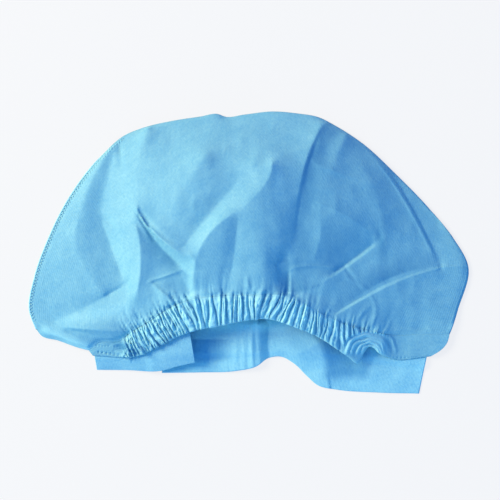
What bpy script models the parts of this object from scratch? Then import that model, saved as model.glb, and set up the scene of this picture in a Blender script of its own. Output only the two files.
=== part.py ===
"""A disposable surgical cap of thin non-woven cloth, lying on its front panel with its gathered back hem on top.

Metres, +Z up. The cap's width runs along X and its depth, from the mouth to the crown's top, along Y.
Its underside is at z = 0 and the middle of its box is at x = 0, y = 0.
"""

import math

import bmesh
import bpy
import numpy as np

# Sizes, in metres
CAP_WIDTH = 0.309
CAP_DEPTH = 0.199
CLOTH = 0.0010
CASING_WALL = 0.0014
PIECE_GAP = 0.0003
JOINT_GAP = 0.0005
SEAM_WIDTH = 0.0022
SEAM_PROUD = 0.0004
CROWN_RISE = 0.036
HEM_LIFT = 0.019
PLEAT_DEPTH = 0.0022
GATHER_DEPTH = 0.0012
BAND_RISE = 0.0045
OVERLAP_RISE = 0.0045
LAP_RAMP = 0.006

# Counts
PLEATS = 44
FREE_HEM_CELLS = 6
LEFT_END_CELLS = 4
RIGHT_END_CELLS = 5
CROWN_ROWS = 23
CASING_ROWS = 4
BAND_COLUMNS = 38
BAND_ROWS = 7
OVERLAP_COLUMNS = 12
OVERLAP_ROWS = 5
SEAM_STATIONS = 72
SEAM_SIDES = 8
CURVE_STEPS = 12
RELIEF_CELLS = 221
RELIEF_MARGIN = 4

# Where the outline's side edges end and its top edge begins, as shares of the outline's length
LEFT_CORNER = 0.30
RIGHT_CORNER = 0.80
# Where the casing's right end meets the outline, as a share of the outline's length
CASING_CORNER = 0.962
# How far the gathers run into the crown, as a share of its depth
GATHER_SHARE = 0.09
STEEPEST_WALL = 2.5

# The outline, clockwise from the left end of the seam. Columns: share of width, share of depth
OUTLINE = (
    (0.015, 0.227),
    (0.000, 0.290),
    (0.012, 0.417),
    (0.043, 0.550),
    (0.090, 0.694),
    (0.158, 0.833),
    (0.217, 0.916),
    (0.258, 0.942),
    (0.326, 0.967),
    (0.389, 0.982),
    (0.430, 0.991),
    (0.445, 0.982),
    (0.489, 0.989),
    (0.552, 1.000),
    (0.611, 0.993),
    (0.656, 0.981),
    (0.701, 0.946),
    (0.758, 0.888),
    (0.837, 0.775),
    (0.907, 0.663),
    (0.966, 0.550),
    (1.000, 0.445),
    (0.977, 0.297),
    (0.959, 0.213),
    (0.939, 0.156),
    (0.914, 0.130),
)

# The free edge of the back panel, from the seam's left end to the casing. Columns: share of width, of depth
FREE_HEM = (
    (0.027, 0.206),
    (0.066, 0.188),
    (0.111, 0.163),
)

# The casing, left to right. Columns: upper edge's share of width and of depth, lower edge's share of width
# and of depth, then the lift of the upper edge and of the lower edge as shares of the hem's lift
CASING_SECTIONS = (
    (0.136, 0.153, 0.145, 0.134, 0.00, 0.00),
    (0.156, 0.177, 0.170, 0.131, 0.02, 0.00),
    (0.208, 0.188, 0.208, 0.128, 0.06, 0.02),
    (0.235, 0.220, 0.243, 0.130, 0.22, 0.12),
    (0.276, 0.258, 0.295, 0.165, 0.42, 0.28),
    (0.317, 0.300, 0.335, 0.198, 0.62, 0.46),
    (0.362, 0.332, 0.375, 0.222, 0.82, 0.64),
    (0.430, 0.346, 0.432, 0.240, 0.95, 0.78),
    (0.504, 0.350, 0.504, 0.262, 1.00, 0.84),
    (0.586, 0.346, 0.566, 0.257, 0.98, 0.82),
    (0.618, 0.325, 0.605, 0.235, 0.92, 0.76),
    (0.656, 0.293, 0.645, 0.210, 0.80, 0.64),
    (0.688, 0.269, 0.680, 0.178, 0.66, 0.50),
    (0.719, 0.248, 0.722, 0.134, 0.52, 0.34),
    (0.740, 0.238, 0.745, 0.113, 0.42, 0.20),
    (0.760, 0.229, 0.760, 0.143, 0.34, 0.20),
    (0.785, 0.220, 0.779, 0.157, 0.26, 0.22),
    (0.806, 0.214, 0.803, 0.135, 0.18, 0.14),
    (0.824, 0.209, 0.826, 0.123, 0.10, 0.05),
    (0.890, 0.211, 0.870, 0.123, 0.03, 0.01),
    (0.945, 0.206, 0.906, 0.132, 0.00, 0.00),
)
# The rows of the casing between which it is gathered
GATHER_FROM = 2
GATHER_TO = 18

# The lower edge of the front panel, left to right. Columns: share of width, share of depth
FRONT_EDGE = (
    (0.066, 0.190),
    (0.111, 0.166),
    (0.160, 0.158),
    (0.350, 0.175),
    (0.600, 0.182),
    (0.760, 0.166),
)

# The lower edge of the front band, left to right. Columns: share of width, share of depth
BAND_EDGE = (
    (0.302, 0.073),
    (0.389, 0.075),
    (0.470, 0.080),
    (0.516, 0.096),
    (0.545, 0.126),
    (0.572, 0.131),
    (0.602, 0.107),
    (0.632, 0.062),
    (0.656, 0.030),
    (0.700, 0.014),
    (0.790, 0.004),
    (0.887, 0.000),
)
BAND_TOP_RIGHT = 0.893
# How far under the casing the band reaches, as a share of the casing's height from its upper edge
BAND_TUCK = 0.35

# The overlap of the band, left to right. Columns: lower edge's share of width and of depth, upper edge's
# share of width and of depth
OVERLAP_SECTIONS = (
    (0.154, 0.084, 0.147, 0.148),
    (0.225, 0.083, 0.212, 0.165),
    (0.300, 0.081, 0.275, 0.200),
    (0.340, 0.098, 0.330, 0.235),
    (0.378, 0.111, 0.362, 0.262),
)

# Soft mounds of the crown. Columns: centre's share of width and of depth, reach as shares of both, rise as a
# share of the crown's rise
MOUNDS = (
    (0.470, 0.600, 0.520, 0.580, 0.56),
    (0.400, 0.620, 0.260, 0.450, 0.17),
    (0.130, 0.420, 0.170, 0.380, 0.09),
    (0.853, 0.290, 0.170, 0.170, 0.03),
)

# Creases of the crown, between which its cloth is stretched. Columns: three knots, each a share of width, a share
# of depth and a height as a share of the crown's rise, then the softness, from 0 for a sharp crease to 1
CREASES = (
    # left side: the plateau's edge, the valley, the ridge
    (0.190, 0.870, 0.089, 0.145, 0.761, 0.128, 0.118, 0.631, 0.147, 0.6),
    (0.118, 0.631, 0.147, 0.111, 0.501, 0.167, 0.172, 0.353, 0.211, 0.1),
    (0.195, 0.870, 0.083, 0.172, 0.726, 0.111, 0.161, 0.631, 0.122, 0.5),
    (0.161, 0.631, 0.119, 0.188, 0.515, 0.139, 0.219, 0.388, 0.211, 0.2),
    (0.276, 0.961, 0.097, 0.251, 0.807, 0.339, 0.242, 0.610, 0.456, 0.9),
    (0.242, 0.610, 0.456, 0.256, 0.480, 0.494, 0.244, 0.339, 0.400, 0.0),
    # lower left: the crease from the corner, the edge of the bright face, the shadow below and the rolled rim
    (0.041, 0.248, 0.050, 0.129, 0.308, 0.108, 0.224, 0.388, 0.206, 0.0),
    (0.059, 0.248, 0.078, 0.149, 0.237, 0.361, 0.240, 0.220, 0.383, 0.2),
    (0.045, 0.241, 0.050, 0.100, 0.220, 0.078, 0.167, 0.195, 0.100, 0.2),
    (0.032, 0.223, 0.056, 0.077, 0.199, 0.128, 0.136, 0.167, 0.106, 0.2),
    # left middle: the pinched fold with its lip and foot, the pale triangle
    (0.244, 0.670, 0.478, 0.283, 0.571, 0.594, 0.362, 0.483, 0.717, 0.0),
    (0.251, 0.638, 0.456, 0.292, 0.540, 0.544, 0.348, 0.459, 0.667, 0.0),
    (0.247, 0.624, 0.433, 0.283, 0.529, 0.422, 0.335, 0.434, 0.500, 0.0),
    (0.281, 0.392, 0.344, 0.312, 0.413, 0.444, 0.346, 0.431, 0.611, 0.0),
    (0.281, 0.392, 0.344, 0.305, 0.353, 0.394, 0.348, 0.290, 0.400, 0.0),
    (0.346, 0.431, 0.611, 0.355, 0.388, 0.594, 0.348, 0.339, 0.494, 0.1),
    (0.367, 0.424, 0.600, 0.367, 0.388, 0.494, 0.371, 0.343, 0.456, 0.1),
    # centre: foot and crest of the diagonal ridge, the leaf's right edge, the upright ridge
    (0.403, 0.838, 0.628, 0.351, 0.712, 0.667, 0.330, 0.564, 0.650, 0.9),
    (0.511, 0.810, 0.678, 0.439, 0.684, 0.658, 0.353, 0.522, 0.664, 0.6),
    (0.548, 0.814, 0.700, 0.529, 0.733, 0.800, 0.471, 0.638, 0.833, 0.2),
    (0.471, 0.638, 0.833, 0.398, 0.536, 0.844, 0.369, 0.385, 0.656, 0.2),
    (0.475, 0.631, 0.794, 0.466, 0.490, 0.683, 0.448, 0.360, 0.539, 0.0),
    (0.505, 0.638, 0.811, 0.511, 0.508, 0.789, 0.514, 0.360, 0.622, 0.3),
    (0.534, 0.627, 0.750, 0.545, 0.501, 0.711, 0.545, 0.367, 0.594, 0.8),
    # right of centre: the long drop
    (0.672, 0.961, 0.083, 0.622, 0.782, 0.611, 0.595, 0.508, 0.622, 0.0),
    (0.681, 0.951, 0.081, 0.633, 0.779, 0.556, 0.604, 0.504, 0.581, 0.2),
    (0.724, 0.923, 0.081, 0.679, 0.761, 0.444, 0.622, 0.508, 0.539, 0.6),
    # right: the ridge beyond it, the dark face, the folds that meet at the knot
    (0.643, 0.677, 0.561, 0.706, 0.638, 0.522, 0.787, 0.557, 0.317, 0.0),
    (0.652, 0.645, 0.550, 0.665, 0.578, 0.544, 0.656, 0.466, 0.494, 0.0),
    (0.670, 0.455, 0.394, 0.729, 0.483, 0.303, 0.787, 0.536, 0.300, 0.3),
    (0.790, 0.522, 0.311, 0.751, 0.476, 0.389, 0.692, 0.413, 0.494, 0.0),
    (0.692, 0.413, 0.494, 0.647, 0.385, 0.528, 0.600, 0.346, 0.533, 0.1),
    (0.593, 0.434, 0.567, 0.629, 0.448, 0.572, 0.701, 0.441, 0.433, 0.0),
    (0.588, 0.494, 0.628, 0.554, 0.469, 0.606, 0.568, 0.417, 0.528, 0.2),
    (0.581, 0.431, 0.511, 0.581, 0.395, 0.500, 0.577, 0.353, 0.511, 0.1),
    (0.593, 0.434, 0.567, 0.593, 0.395, 0.561, 0.595, 0.357, 0.544, 0.1),
    (0.629, 0.360, 0.444, 0.683, 0.343, 0.328, 0.744, 0.364, 0.303, 0.4),
    # right side: the crown's edge over the outer strip, the flap and the hollow above it
    (0.776, 0.852, 0.072, 0.853, 0.694, 0.125, 0.934, 0.441, 0.094, 0.0),
    (0.783, 0.852, 0.050, 0.860, 0.698, 0.075, 0.941, 0.448, 0.056, 0.0),
    (0.751, 0.814, 0.239, 0.792, 0.673, 0.306, 0.805, 0.543, 0.283, 0.7),
    (0.993, 0.452, 0.050, 0.864, 0.413, 0.239, 0.688, 0.272, 0.450, 0.0),
    (0.986, 0.459, 0.033, 0.896, 0.445, 0.111, 0.796, 0.399, 0.294, 0.0),
    (0.810, 0.406, 0.272, 0.751, 0.364, 0.339, 0.697, 0.297, 0.389, 0.0),
)

# Waves of the front band. Columns: start, middle and end, each as shares of width and of depth, the rise at each
# as a share of the band's rise, the reach to the left and to the right of its line as shares of width, and the
# roundness, from 1 for a pinched crease to 2 for a soft roll
BAND_WAVES = (
    (0.470, 0.250, 0.472, 0.160, 0.474, 0.060, 0.40, 0.90, 1.00, 0.062, 0.048, 1.6),
    (0.592, 0.250, 0.590, 0.180, 0.580, 0.120, 0.30, 0.80, 1.00, 0.060, 0.050, 1.8),
    (0.850, 0.090, 0.870, 0.050, 0.890, 0.000, 0.10, 0.20, 0.35, 0.050, 0.050, 2.0),
)


def plane(share_of_width, share_of_depth):
    """A point of the plan from shares of the cap's two sizes."""
    return (share_of_width - 0.5) * CAP_WIDTH, (share_of_depth - 0.5) * CAP_DEPTH


def plan_points(rows):
    """The rows' first two columns as points in metres."""
    return np.array([plane(row[0], row[1]) for row in rows])


def ease(value):
    """0 below 0, 1 above 1, and a smooth rise between."""
    value = np.clip(value, 0.0, 1.0)
    return value * value * (3.0 - 2.0 * value)


def smooth_curve(rows):
    """Dense points on a smooth curve through the rows, and each point's place as a fraction of a row."""
    rows = np.asarray(rows, float)
    padded = np.vstack([2 * rows[0] - rows[1], rows, 2 * rows[-1] - rows[-2]])
    chords = np.linalg.norm(np.diff(padded[:, :2], axis=0), axis=1)
    slopes = np.diff(padded, axis=0) / chords[:, None]
    before = chords[:-1, None]
    after = chords[1:, None]
    tangents = (slopes[:-1] * after + slopes[1:] * before) / (before + after)
    points = []
    places = []
    for row in range(len(rows) - 1):
        chord = chords[row + 1]
        for t in np.linspace(0.0, 1.0, CURVE_STEPS, endpoint=False):
            rise = 3 * t * t - 2 * t * t * t
            leave = t * (1 - t) * (1 - t) * chord
            arrive = t * t * (t - 1) * chord
            point = rows[row] * (1 - rise) + rows[row + 1] * rise
            points.append(point + tangents[row] * leave + tangents[row + 1] * arrive)
            places.append(row + t)
    points.append(rows[-1])
    places.append(len(rows) - 1.0)
    return np.array(points), np.array(places)


def lengths_along(points):
    steps = np.linalg.norm(np.diff(points[:, :2], axis=0), axis=1)
    return np.concatenate([[0.0], np.cumsum(steps)])


def at_lengths(points, lengths):
    """The curve's points at the given lengths along it."""
    along = lengths_along(points)
    return np.column_stack([np.interp(lengths, along, column) for column in points.T])


def at_shares(points, shares):
    """The curve's points at the given shares of its length."""
    return at_lengths(points, np.asarray(shares) * lengths_along(points)[-1])


def moved_inward(points, distance):
    """A clockwise curve moved to its right by a distance."""
    tangents = np.gradient(points, axis=0)
    tangents /= np.linalg.norm(tangents, axis=1)[:, None]
    return points + distance * np.column_stack([tangents[:, 1], -tangents[:, 0]])


def outline_curve():
    return smooth_curve(plan_points(OUTLINE))[0]


def panel_rim():
    """The line inside the seam where both panels end."""
    return moved_inward(outline_curve(), SEAM_WIDTH + PIECE_GAP)


def fold_heights(x, y, rows, rise):
    """The summed height of a table of folds at the points x, y."""
    heights = np.zeros_like(x)
    steps = np.linspace(0.0, 1.0, 2 * CURVE_STEPS + 1)
    for row in rows:
        start, middle, end = (np.array(plane(*row[k : k + 2])) for k in (0, 2, 4))
        bend = 2 * middle - (start + end) / 2
        t = steps[:, None]
        line = start * (1 - t) ** 2 + 2 * bend * t * (1 - t) + end * t**2
        nearest = np.full_like(x, np.inf)
        side = np.zeros_like(x)
        place = np.zeros_like(x)
        for k in range(len(line) - 1):
            run = line[k + 1] - line[k]
            dx = x - line[k, 0]
            dy = y - line[k, 1]
            along = np.clip((dx * run[0] + dy * run[1]) / run.dot(run), 0.0, 1.0)
            off_x = dx - along * run[0]
            off_y = dy - along * run[1]
            away = np.hypot(off_x, off_y)
            closer = away < nearest
            nearest = np.where(closer, away, nearest)
            side = np.where(closer, run[0] * off_y - run[1] * off_x, side)
            place = np.where(closer, steps[k] + along * (steps[k + 1] - steps[k]), place)
        rises = np.interp(place, [0.0, 0.5, 1.0], row[6:9])
        reach = np.where(side > 0, row[9], row[10]) * CAP_WIDTH
        near = np.clip(nearest / reach, 0.0, 1.0)
        heights += rise * rises * (1 - near ** row[11]) ** 2
    return heights


def mound_heights(x, y):
    heights = np.zeros_like(x)
    for across, up, reach_across, reach_up, rise in MOUNDS:
        centre_x, centre_y = plane(across, up)
        away = ((x - centre_x) / (reach_across * CAP_WIDTH)) ** 2
        away = away + ((y - centre_y) / (reach_up * CAP_DEPTH)) ** 2
        heights += CROWN_RISE * rise * (1 - np.clip(away, 0.0, 1.0)) ** 2
    return heights


def front_edge_curve():
    """The front panel's lower edge, from the seam's left end to its right end."""
    rim = panel_rim()
    rows = np.vstack([rim[:1], plan_points(FRONT_EDGE), rim[-1:]])
    return smooth_curve(rows)[0]


def lying_height(x, y):
    """How high a layer lies that passes over the front panel and then down to the surface."""
    edge = front_edge_curve()
    line = np.interp(x, edge[:, 0], edge[:, 1])
    return (CLOTH + PIECE_GAP) * ease((y - line + 2 * LAP_RAMP) / LAP_RAMP)


def casing_curve():
    """Dense rows of the casing: upper x, y, lower x, y, underside at the upper edge and at the lower edge."""
    low = 2 * (CLOTH + PIECE_GAP)
    rows = []
    for upper_x, upper_y, lower_x, lower_y, upper_lift, lower_lift in CASING_SECTIONS:
        upper = plane(upper_x, upper_y)
        lower = plane(lower_x, lower_y)
        rows.append((*upper, *lower, low + upper_lift * HEM_LIFT, low + lower_lift * HEM_LIFT))
    rim = panel_rim()
    rows[-1] = (*at_shares(rim, [CASING_CORNER])[0], *rim[-1], low, low)
    return smooth_curve(rows)


def casing_stations():
    """The casing's sections at the flat ends' cells and at each pleat's two sides."""
    dense, places = casing_curve()
    along = lengths_along(dense)
    gather_start, gather_end = np.interp([GATHER_FROM, GATHER_TO], places, along)
    left = np.linspace(0.0, gather_start, LEFT_END_CELLS, endpoint=False)
    pleats = np.linspace(gather_start, gather_end, PLEATS, endpoint=False)
    right = np.linspace(gather_end, along[-1], RIGHT_END_CELLS + 1)
    joints = np.concatenate([left, pleats, right])
    halves = (joints[1:] + joints[:-1]) / 2
    return at_lengths(dense, joints), at_lengths(dense, halves)


def hem_line():
    """The back panel's lower edge: free at the left, then along the casing, one point to each pleat."""
    rim = panel_rim()
    sections = casing_stations()[0]
    joint = np.column_stack([sections[:, 0], sections[:, 1] + JOINT_GAP, sections[:, 4]])
    low = CLOTH + PIECE_GAP
    free = np.vstack([rim[:1], plan_points(FREE_HEM), joint[:1, :2]])
    free = at_shares(smooth_curve(free)[0], np.linspace(0.0, 1.0, FREE_HEM_CELLS + 1))[:-1]
    rise = ease(np.linspace(0.0, 1.0, FREE_HEM_CELLS + 1))[:-1]
    free_z = low + rise * (joint[0, 2] - low)
    return np.vstack([np.column_stack([free, free_z]), joint])


def crown_edges():
    """The back panel's lower, upper, left and right edges as lists of points."""
    rim = panel_rim()
    lower = hem_line()
    columns = len(lower)
    low = CLOTH + PIECE_GAP
    upper = at_shares(rim, np.linspace(LEFT_CORNER, RIGHT_CORNER, columns))
    left = at_shares(rim, np.linspace(0.0, LEFT_CORNER, CROWN_ROWS + 1))
    right = at_shares(rim, np.linspace(CASING_CORNER, RIGHT_CORNER, CROWN_ROWS + 1))
    right[0] = lower[-1, :2]
    fall = ease(1 - 3 * np.linspace(0.0, 1.0, CROWN_ROWS + 1))
    right_z = low + fall * (lower[-1, 2] - low)
    upper = np.column_stack([upper, np.full(columns, low)])
    left = np.column_stack([left, np.full(CROWN_ROWS + 1, low)])
    return lower, upper, left, np.column_stack([right, right_z])


def patch(lower, upper, left, right):
    """A grid of points between four edges, columns by rows."""
    u = np.linspace(0.0, 1.0, len(lower))[:, None, None]
    v = np.linspace(0.0, 1.0, len(left))[None, :, None]
    across = (1 - u) * left[None] + u * right[None]
    along = (1 - v) * lower[:, None] + v * upper[:, None]
    corners = (1 - u) * ((1 - v) * lower[0] + v * upper[0]) + u * ((1 - v) * lower[-1] + v * upper[-1])
    return across + along - corners


def gathers(columns, rows):
    """Ridges that run from the casing's pleats into the crown and fade."""
    first = FREE_HEM_CELLS + LEFT_END_CELLS
    heights = np.zeros((columns, rows))
    depth = np.linspace(0.0, 1.0, rows)
    fade = np.exp(-depth / GATHER_SHARE) * ease(2 * depth / GATHER_SHARE)
    for pleat in range(PLEATS):
        heights[first + pleat] = GATHER_DEPTH * fade * (pleat % 2)
    return heights


def crease_line(row):
    """Points along a crease, with heights and softness. Both ends run out softly."""
    knots = np.array([(*plane(*row[k : k + 2]), row[k + 2] * CROWN_RISE) for k in (0, 3, 6)])
    t = np.linspace(0.0, 1.0, 150)[:, None]
    bend = 2 * knots[1] - (knots[0] + knots[2]) / 2
    line = knots[0] * (1 - t) ** 2 + 2 * bend * t * (1 - t) + knots[2] * t**2
    ends = 0.9 * (1 - np.clip(np.minimum(t, 1 - t) / 0.12, 0.0, 1.0))
    return np.column_stack([line, np.maximum(row[9], ends)])


def edge_line(edge):
    """Dense points along one of the crown's edges, with heights and no softness."""
    points = at_shares(edge, np.linspace(0.0, 1.0, 900))
    return np.column_stack([points, np.zeros(len(points))])


def resampled(field, rows, columns):
    """A raster's values at fractional rows and columns, with one value or several to each of its cells."""
    rows = np.clip(rows, 0, field.shape[0] - 1.001)
    columns = np.clip(columns, 0, field.shape[1] - 1.001)
    row = rows.astype(int)
    column = columns.astype(int)
    along = rows - row
    across = columns - column
    if field.ndim > 2:
        along = along[..., None]
        across = across[..., None]
    low = field[row, column] * (1 - across) + field[row, column + 1] * across
    high = field[row + 1, column] * (1 - across) + field[row + 1, column + 1] * across
    return low * (1 - along) + high * along


def smoothed(field, passes, keep=0.5):
    """Each value drawn towards the mean of its four neighbours, again and again."""
    for _ in range(passes):
        mean = (field[:-2, 1:-1] + field[2:, 1:-1] + field[1:-1, :-2] + field[1:-1, 2:]) / 4
        field = field.copy()
        field[1:-1, 1:-1] = keep * field[1:-1, 1:-1] + (1 - keep) * mean
    return field


def stretched_between(lines):
    """A raster of the heights of cloth stretched between the lines, over the mounds, worked from coarse to fine."""
    cell = CAP_WIDTH / RELIEF_CELLS
    column = (lines[:, 0] + CAP_WIDTH / 2) / cell + RELIEF_MARGIN
    row = (lines[:, 1] + CAP_DEPTH / 2) / cell + RELIEF_MARGIN
    above = lines[:, 2] - mound_heights(lines[:, 0], lines[:, 1])
    field = np.zeros((60, 60, 2))
    for step in (8, 4, 2, 1):
        width = (RELIEF_CELLS + 2 * RELIEF_MARGIN) // step + 2
        depth = int(RELIEF_CELLS * CAP_DEPTH / CAP_WIDTH + 2 * RELIEF_MARGIN) // step + 2
        across = np.clip(np.rint(column / step).astype(int), 0, width - 1)
        along = np.clip(np.rint(row / step).astype(int), 0, depth - 1)
        total = np.zeros((depth, width, 3))
        np.add.at(total, (along, across), np.column_stack([above, lines[:, 3], np.ones(len(lines))]))
        known = total[..., 2] > 0
        value = total[known][:, :2] / total[known][:, 2:]
        grid_row, grid_column = np.mgrid[0:depth, 0:width]
        field = resampled(field, grid_row / 2.0, grid_column / 2.0)
        field[known] = value
        for _ in range(120):
            field = smoothed(field, 1, 0.0)
            field[known] = value
    x = (grid_column - RELIEF_MARGIN) * cell - CAP_WIDTH / 2
    y = (grid_row - RELIEF_MARGIN) * cell - CAP_DEPTH / 2
    heights = field[..., 0] + mound_heights(x, y)
    softness = np.clip(smoothed(field[..., 1], 3), 0.0, 1.0)
    return smoothed(heights, 3) * (1 - softness) + smoothed(heights, 20) * softness


def crown_grid():
    edges = crown_edges()
    grid = patch(*edges)
    columns, rows = grid.shape[:2]
    u = np.linspace(0.0, 1.0, columns)[:, None]
    v = np.linspace(0.0, 1.0, rows)[None, :]
    relief = stretched_between(np.vstack([edge_line(edge) for edge in edges] + [crease_line(row) for row in CREASES]))
    cell = CAP_WIDTH / RELIEF_CELLS
    row = (grid[..., 1] + CAP_DEPTH / 2) / cell + RELIEF_MARGIN
    column = (grid[..., 0] + CAP_WIDTH / 2) / cell + RELIEF_MARGIN
    inside = (u > 0) & (u < 1) & (v > 0) & (v < 1)
    grid[..., 2] = np.where(inside, resampled(relief, row, column), grid[..., 2])
    grid[..., 2] += gathers(columns, rows)
    grid[..., 2] = np.maximum(grid[..., 2], CLOTH + PIECE_GAP)
    return grid


def casing_grid():
    joints, halves = casing_stations()
    count = len(joints) + len(halves)
    sections = np.empty((count, 6))
    sections[0::2] = joints
    sections[1::2] = halves
    # the upper edge runs straight from joint to joint, as the back panel's edge beside it does
    for column in (0, 1, 4):
        sections[1::2, column] = (joints[:-1, column] + joints[1:, column]) / 2
    first = 2 * LEFT_END_CELLS
    last = first + 2 * PLEATS
    grid = np.empty((count, CASING_ROWS + 1, 3))
    for row in range(CASING_ROWS + 1):
        w = 1 - row / CASING_ROWS
        grid[:, row, :2] = (1 - w) * sections[:, 0:2] + w * sections[:, 2:4]
        grid[:, row, 2] = (1 - w) * sections[:, 4] + w * sections[:, 5]
        for k in range(first + 1, last, 2):
            unevenness = 0.8 + 0.2 * math.sin(1.9 * k)
            grid[k, row, 2] += PLEAT_DEPTH * unevenness * ease(2 * w)
    return grid


def front_grid():
    rim = panel_rim()
    edge = front_edge_curve()
    columns = PLEATS
    lower = at_shares(edge, np.linspace(0.0, 1.0, columns + 1))
    upper = at_shares(rim, np.linspace(LEFT_CORNER, RIGHT_CORNER, columns + 1))
    left = at_shares(rim, np.linspace(0.0, LEFT_CORNER, CROWN_ROWS + 1))
    right = at_shares(rim, np.linspace(1.0, RIGHT_CORNER, CROWN_ROWS + 1))
    flat = patch(lower, upper, left, right)
    return np.dstack([flat, np.zeros(flat.shape[:2])])


def band_grid():
    edge = smooth_curve(plan_points(BAND_EDGE))[0]
    casing = casing_curve()[0]
    tuck = (1 - BAND_TUCK) * casing[:, 0:2] + BAND_TUCK * casing[:, 2:4]
    u = np.linspace(0.0, 1.0, BAND_COLUMNS + 1)
    lower_x = edge[0, 0] + u * (edge[-1, 0] - edge[0, 0])
    lower_y = np.interp(lower_x, edge[:, 0], edge[:, 1])
    upper_x = edge[0, 0] + u * (plane(BAND_TOP_RIGHT, 0)[0] - edge[0, 0])
    upper_y = np.interp(upper_x, tuck[:, 0], tuck[:, 1])
    v = np.linspace(0.0, 1.0, BAND_ROWS + 1)[None, :]
    x = (1 - v) * lower_x[:, None] + v * upper_x[:, None]
    y = (1 - v) * lower_y[:, None] + v * upper_y[:, None]
    z = lying_height(x, y) + np.maximum(fold_heights(x, y, BAND_WAVES, BAND_RISE), 0.0)
    return np.dstack([x, y, z])


def overlap_grid():
    rows = [(*plane(*row[0:2]), *plane(*row[2:4])) for row in OVERLAP_SECTIONS]
    dense = smooth_curve(rows)[0]
    sections = at_shares(dense, np.linspace(0.0, 1.0, OVERLAP_COLUMNS + 1))
    v = np.linspace(0.0, 1.0, OVERLAP_ROWS + 1)[None, :]
    x = (1 - v) * sections[:, 0:1] + v * sections[:, 2:3]
    y = (1 - v) * sections[:, 1:2] + v * sections[:, 3:4]
    band_left = plane(BAND_EDGE[0][0], 0)[0]
    over_band = (CLOTH + PIECE_GAP) * ease((x - band_left + 2 * LAP_RAMP) / LAP_RAMP)
    span = x[-1, 0] - band_left
    raised = OVERLAP_RISE * ease((x - band_left) / span)
    return np.dstack([x, y, lying_height(x, y) + over_band + raised])


def sheet(name, grid, wall, colour, roughness):
    """One closed solid: a grid as its underside, thickened upward so that its wall stays even on slopes."""
    columns, rows = grid.shape[:2]
    shape = bmesh.new()
    bmesh.ops.create_grid(shape, x_segments=columns - 1, y_segments=rows - 1)
    shape.verts.ensure_lookup_table()
    for index, vert in enumerate(shape.verts):
        vert.co = grid[index % columns, index // columns]
    bmesh.ops.triangulate(shape, faces=shape.faces[:], quad_method="SHORT_EDGE")
    shape.normal_update()
    raises = {}
    for vert in shape.verts:
        steepest = min(abs(face.normal.z) for face in vert.link_faces)
        raises[vert.index] = wall * min(1 / max(steepest, 1e-6), STEEPEST_WALL)
    low_verts = shape.verts[:]
    extruded = bmesh.ops.extrude_face_region(shape, geom=shape.faces[:], use_keep_orig=True)
    tops = {tuple(v.co): v for v in extruded["geom"] if isinstance(v, bmesh.types.BMVert)}
    for vert in low_verts:
        tops[tuple(vert.co)].co.z += raises[vert.index]
    bmesh.ops.recalc_face_normals(shape, faces=shape.faces[:])
    return finished(name, shape, colour, roughness)


def edge_seam():
    """The overlocked bead round the outline, eight-sided, just clear of the surface."""
    path = moved_inward(outline_curve(), SEAM_WIDTH / 2)
    path = at_shares(path, np.linspace(0.0, 1.0, SEAM_STATIONS + 1))
    tangents = np.gradient(path, axis=0)
    tangents /= np.linalg.norm(tangents, axis=1)[:, None]
    height = 2 * CLOTH + SEAM_PROUD
    shape = bmesh.new()
    rings = []
    for point, tangent in zip(path, tangents):
        ring = []
        for side in range(SEAM_SIDES):
            angle = 2 * math.pi * (side + 0.5) / SEAM_SIDES
            flat = 1 / math.cos(math.pi / SEAM_SIDES)
            out = flat * math.cos(angle) * SEAM_WIDTH / 2
            up = PIECE_GAP + (1 + flat * math.sin(angle)) * height / 2
            ring.append(shape.verts.new((point[0] - tangent[1] * out, point[1] + tangent[0] * out, up)))
        rings.append(ring)
    for ring, other in zip(rings, rings[1:]):
        for side in range(SEAM_SIDES):
            turn = (side + 1) % SEAM_SIDES
            shape.faces.new((ring[side], ring[turn], other[turn], other[side]))
    shape.faces.new(rings[0])
    shape.faces.new(rings[-1])
    bmesh.ops.recalc_face_normals(shape, faces=shape.faces[:])
    return finished("edge_seam", shape, (0.13, 0.44, 0.80), 0.75)


def finished(name, shape, colour, roughness):
    """An object with its own material from a finished shape."""
    mesh = bpy.data.meshes.new(name)
    shape.to_mesh(mesh)
    shape.free()
    piece = bpy.data.objects.new(name, mesh)
    bpy.context.scene.collection.objects.link(piece)
    material = bpy.data.materials.new(name + "_cloth")
    material.use_nodes = True
    surface = material.node_tree.nodes["Principled BSDF"]
    surface.inputs["Base Color"].default_value = (*colour, 1.0)
    surface.inputs["Roughness"].default_value = roughness
    surface.inputs["Metallic"].default_value = 0.0
    mesh.materials.append(material)
    mesh.shade_smooth()
    mesh.set_sharp_from_angle(angle=math.radians(40))
    return piece


def main():
    for old in list(bpy.data.objects):
        bpy.data.objects.remove(old, do_unlink=True)
    sheet("back_panel", crown_grid(), CLOTH, (0.15, 0.48, 0.86), 0.70)
    sheet("elastic_casing", casing_grid(), CASING_WALL, (0.17, 0.52, 0.88), 0.70)
    sheet("front_panel", front_grid(), CLOTH, (0.12, 0.42, 0.80), 0.72)
    sheet("front_band", band_grid(), CLOTH, (0.16, 0.50, 0.86), 0.70)
    sheet("band_overlap", overlap_grid(), CLOTH, (0.18, 0.54, 0.88), 0.70)
    edge_seam()


main()
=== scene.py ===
"""A disposable surgical cap of thin non-woven cloth, lying on its front panel, its gathered hem on top.

Metres, +Z up. Each sheet of cloth is a grid whose points are placed by formulas from the cap's sizes and from
short tables, then thickened.
"""

import math

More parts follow.
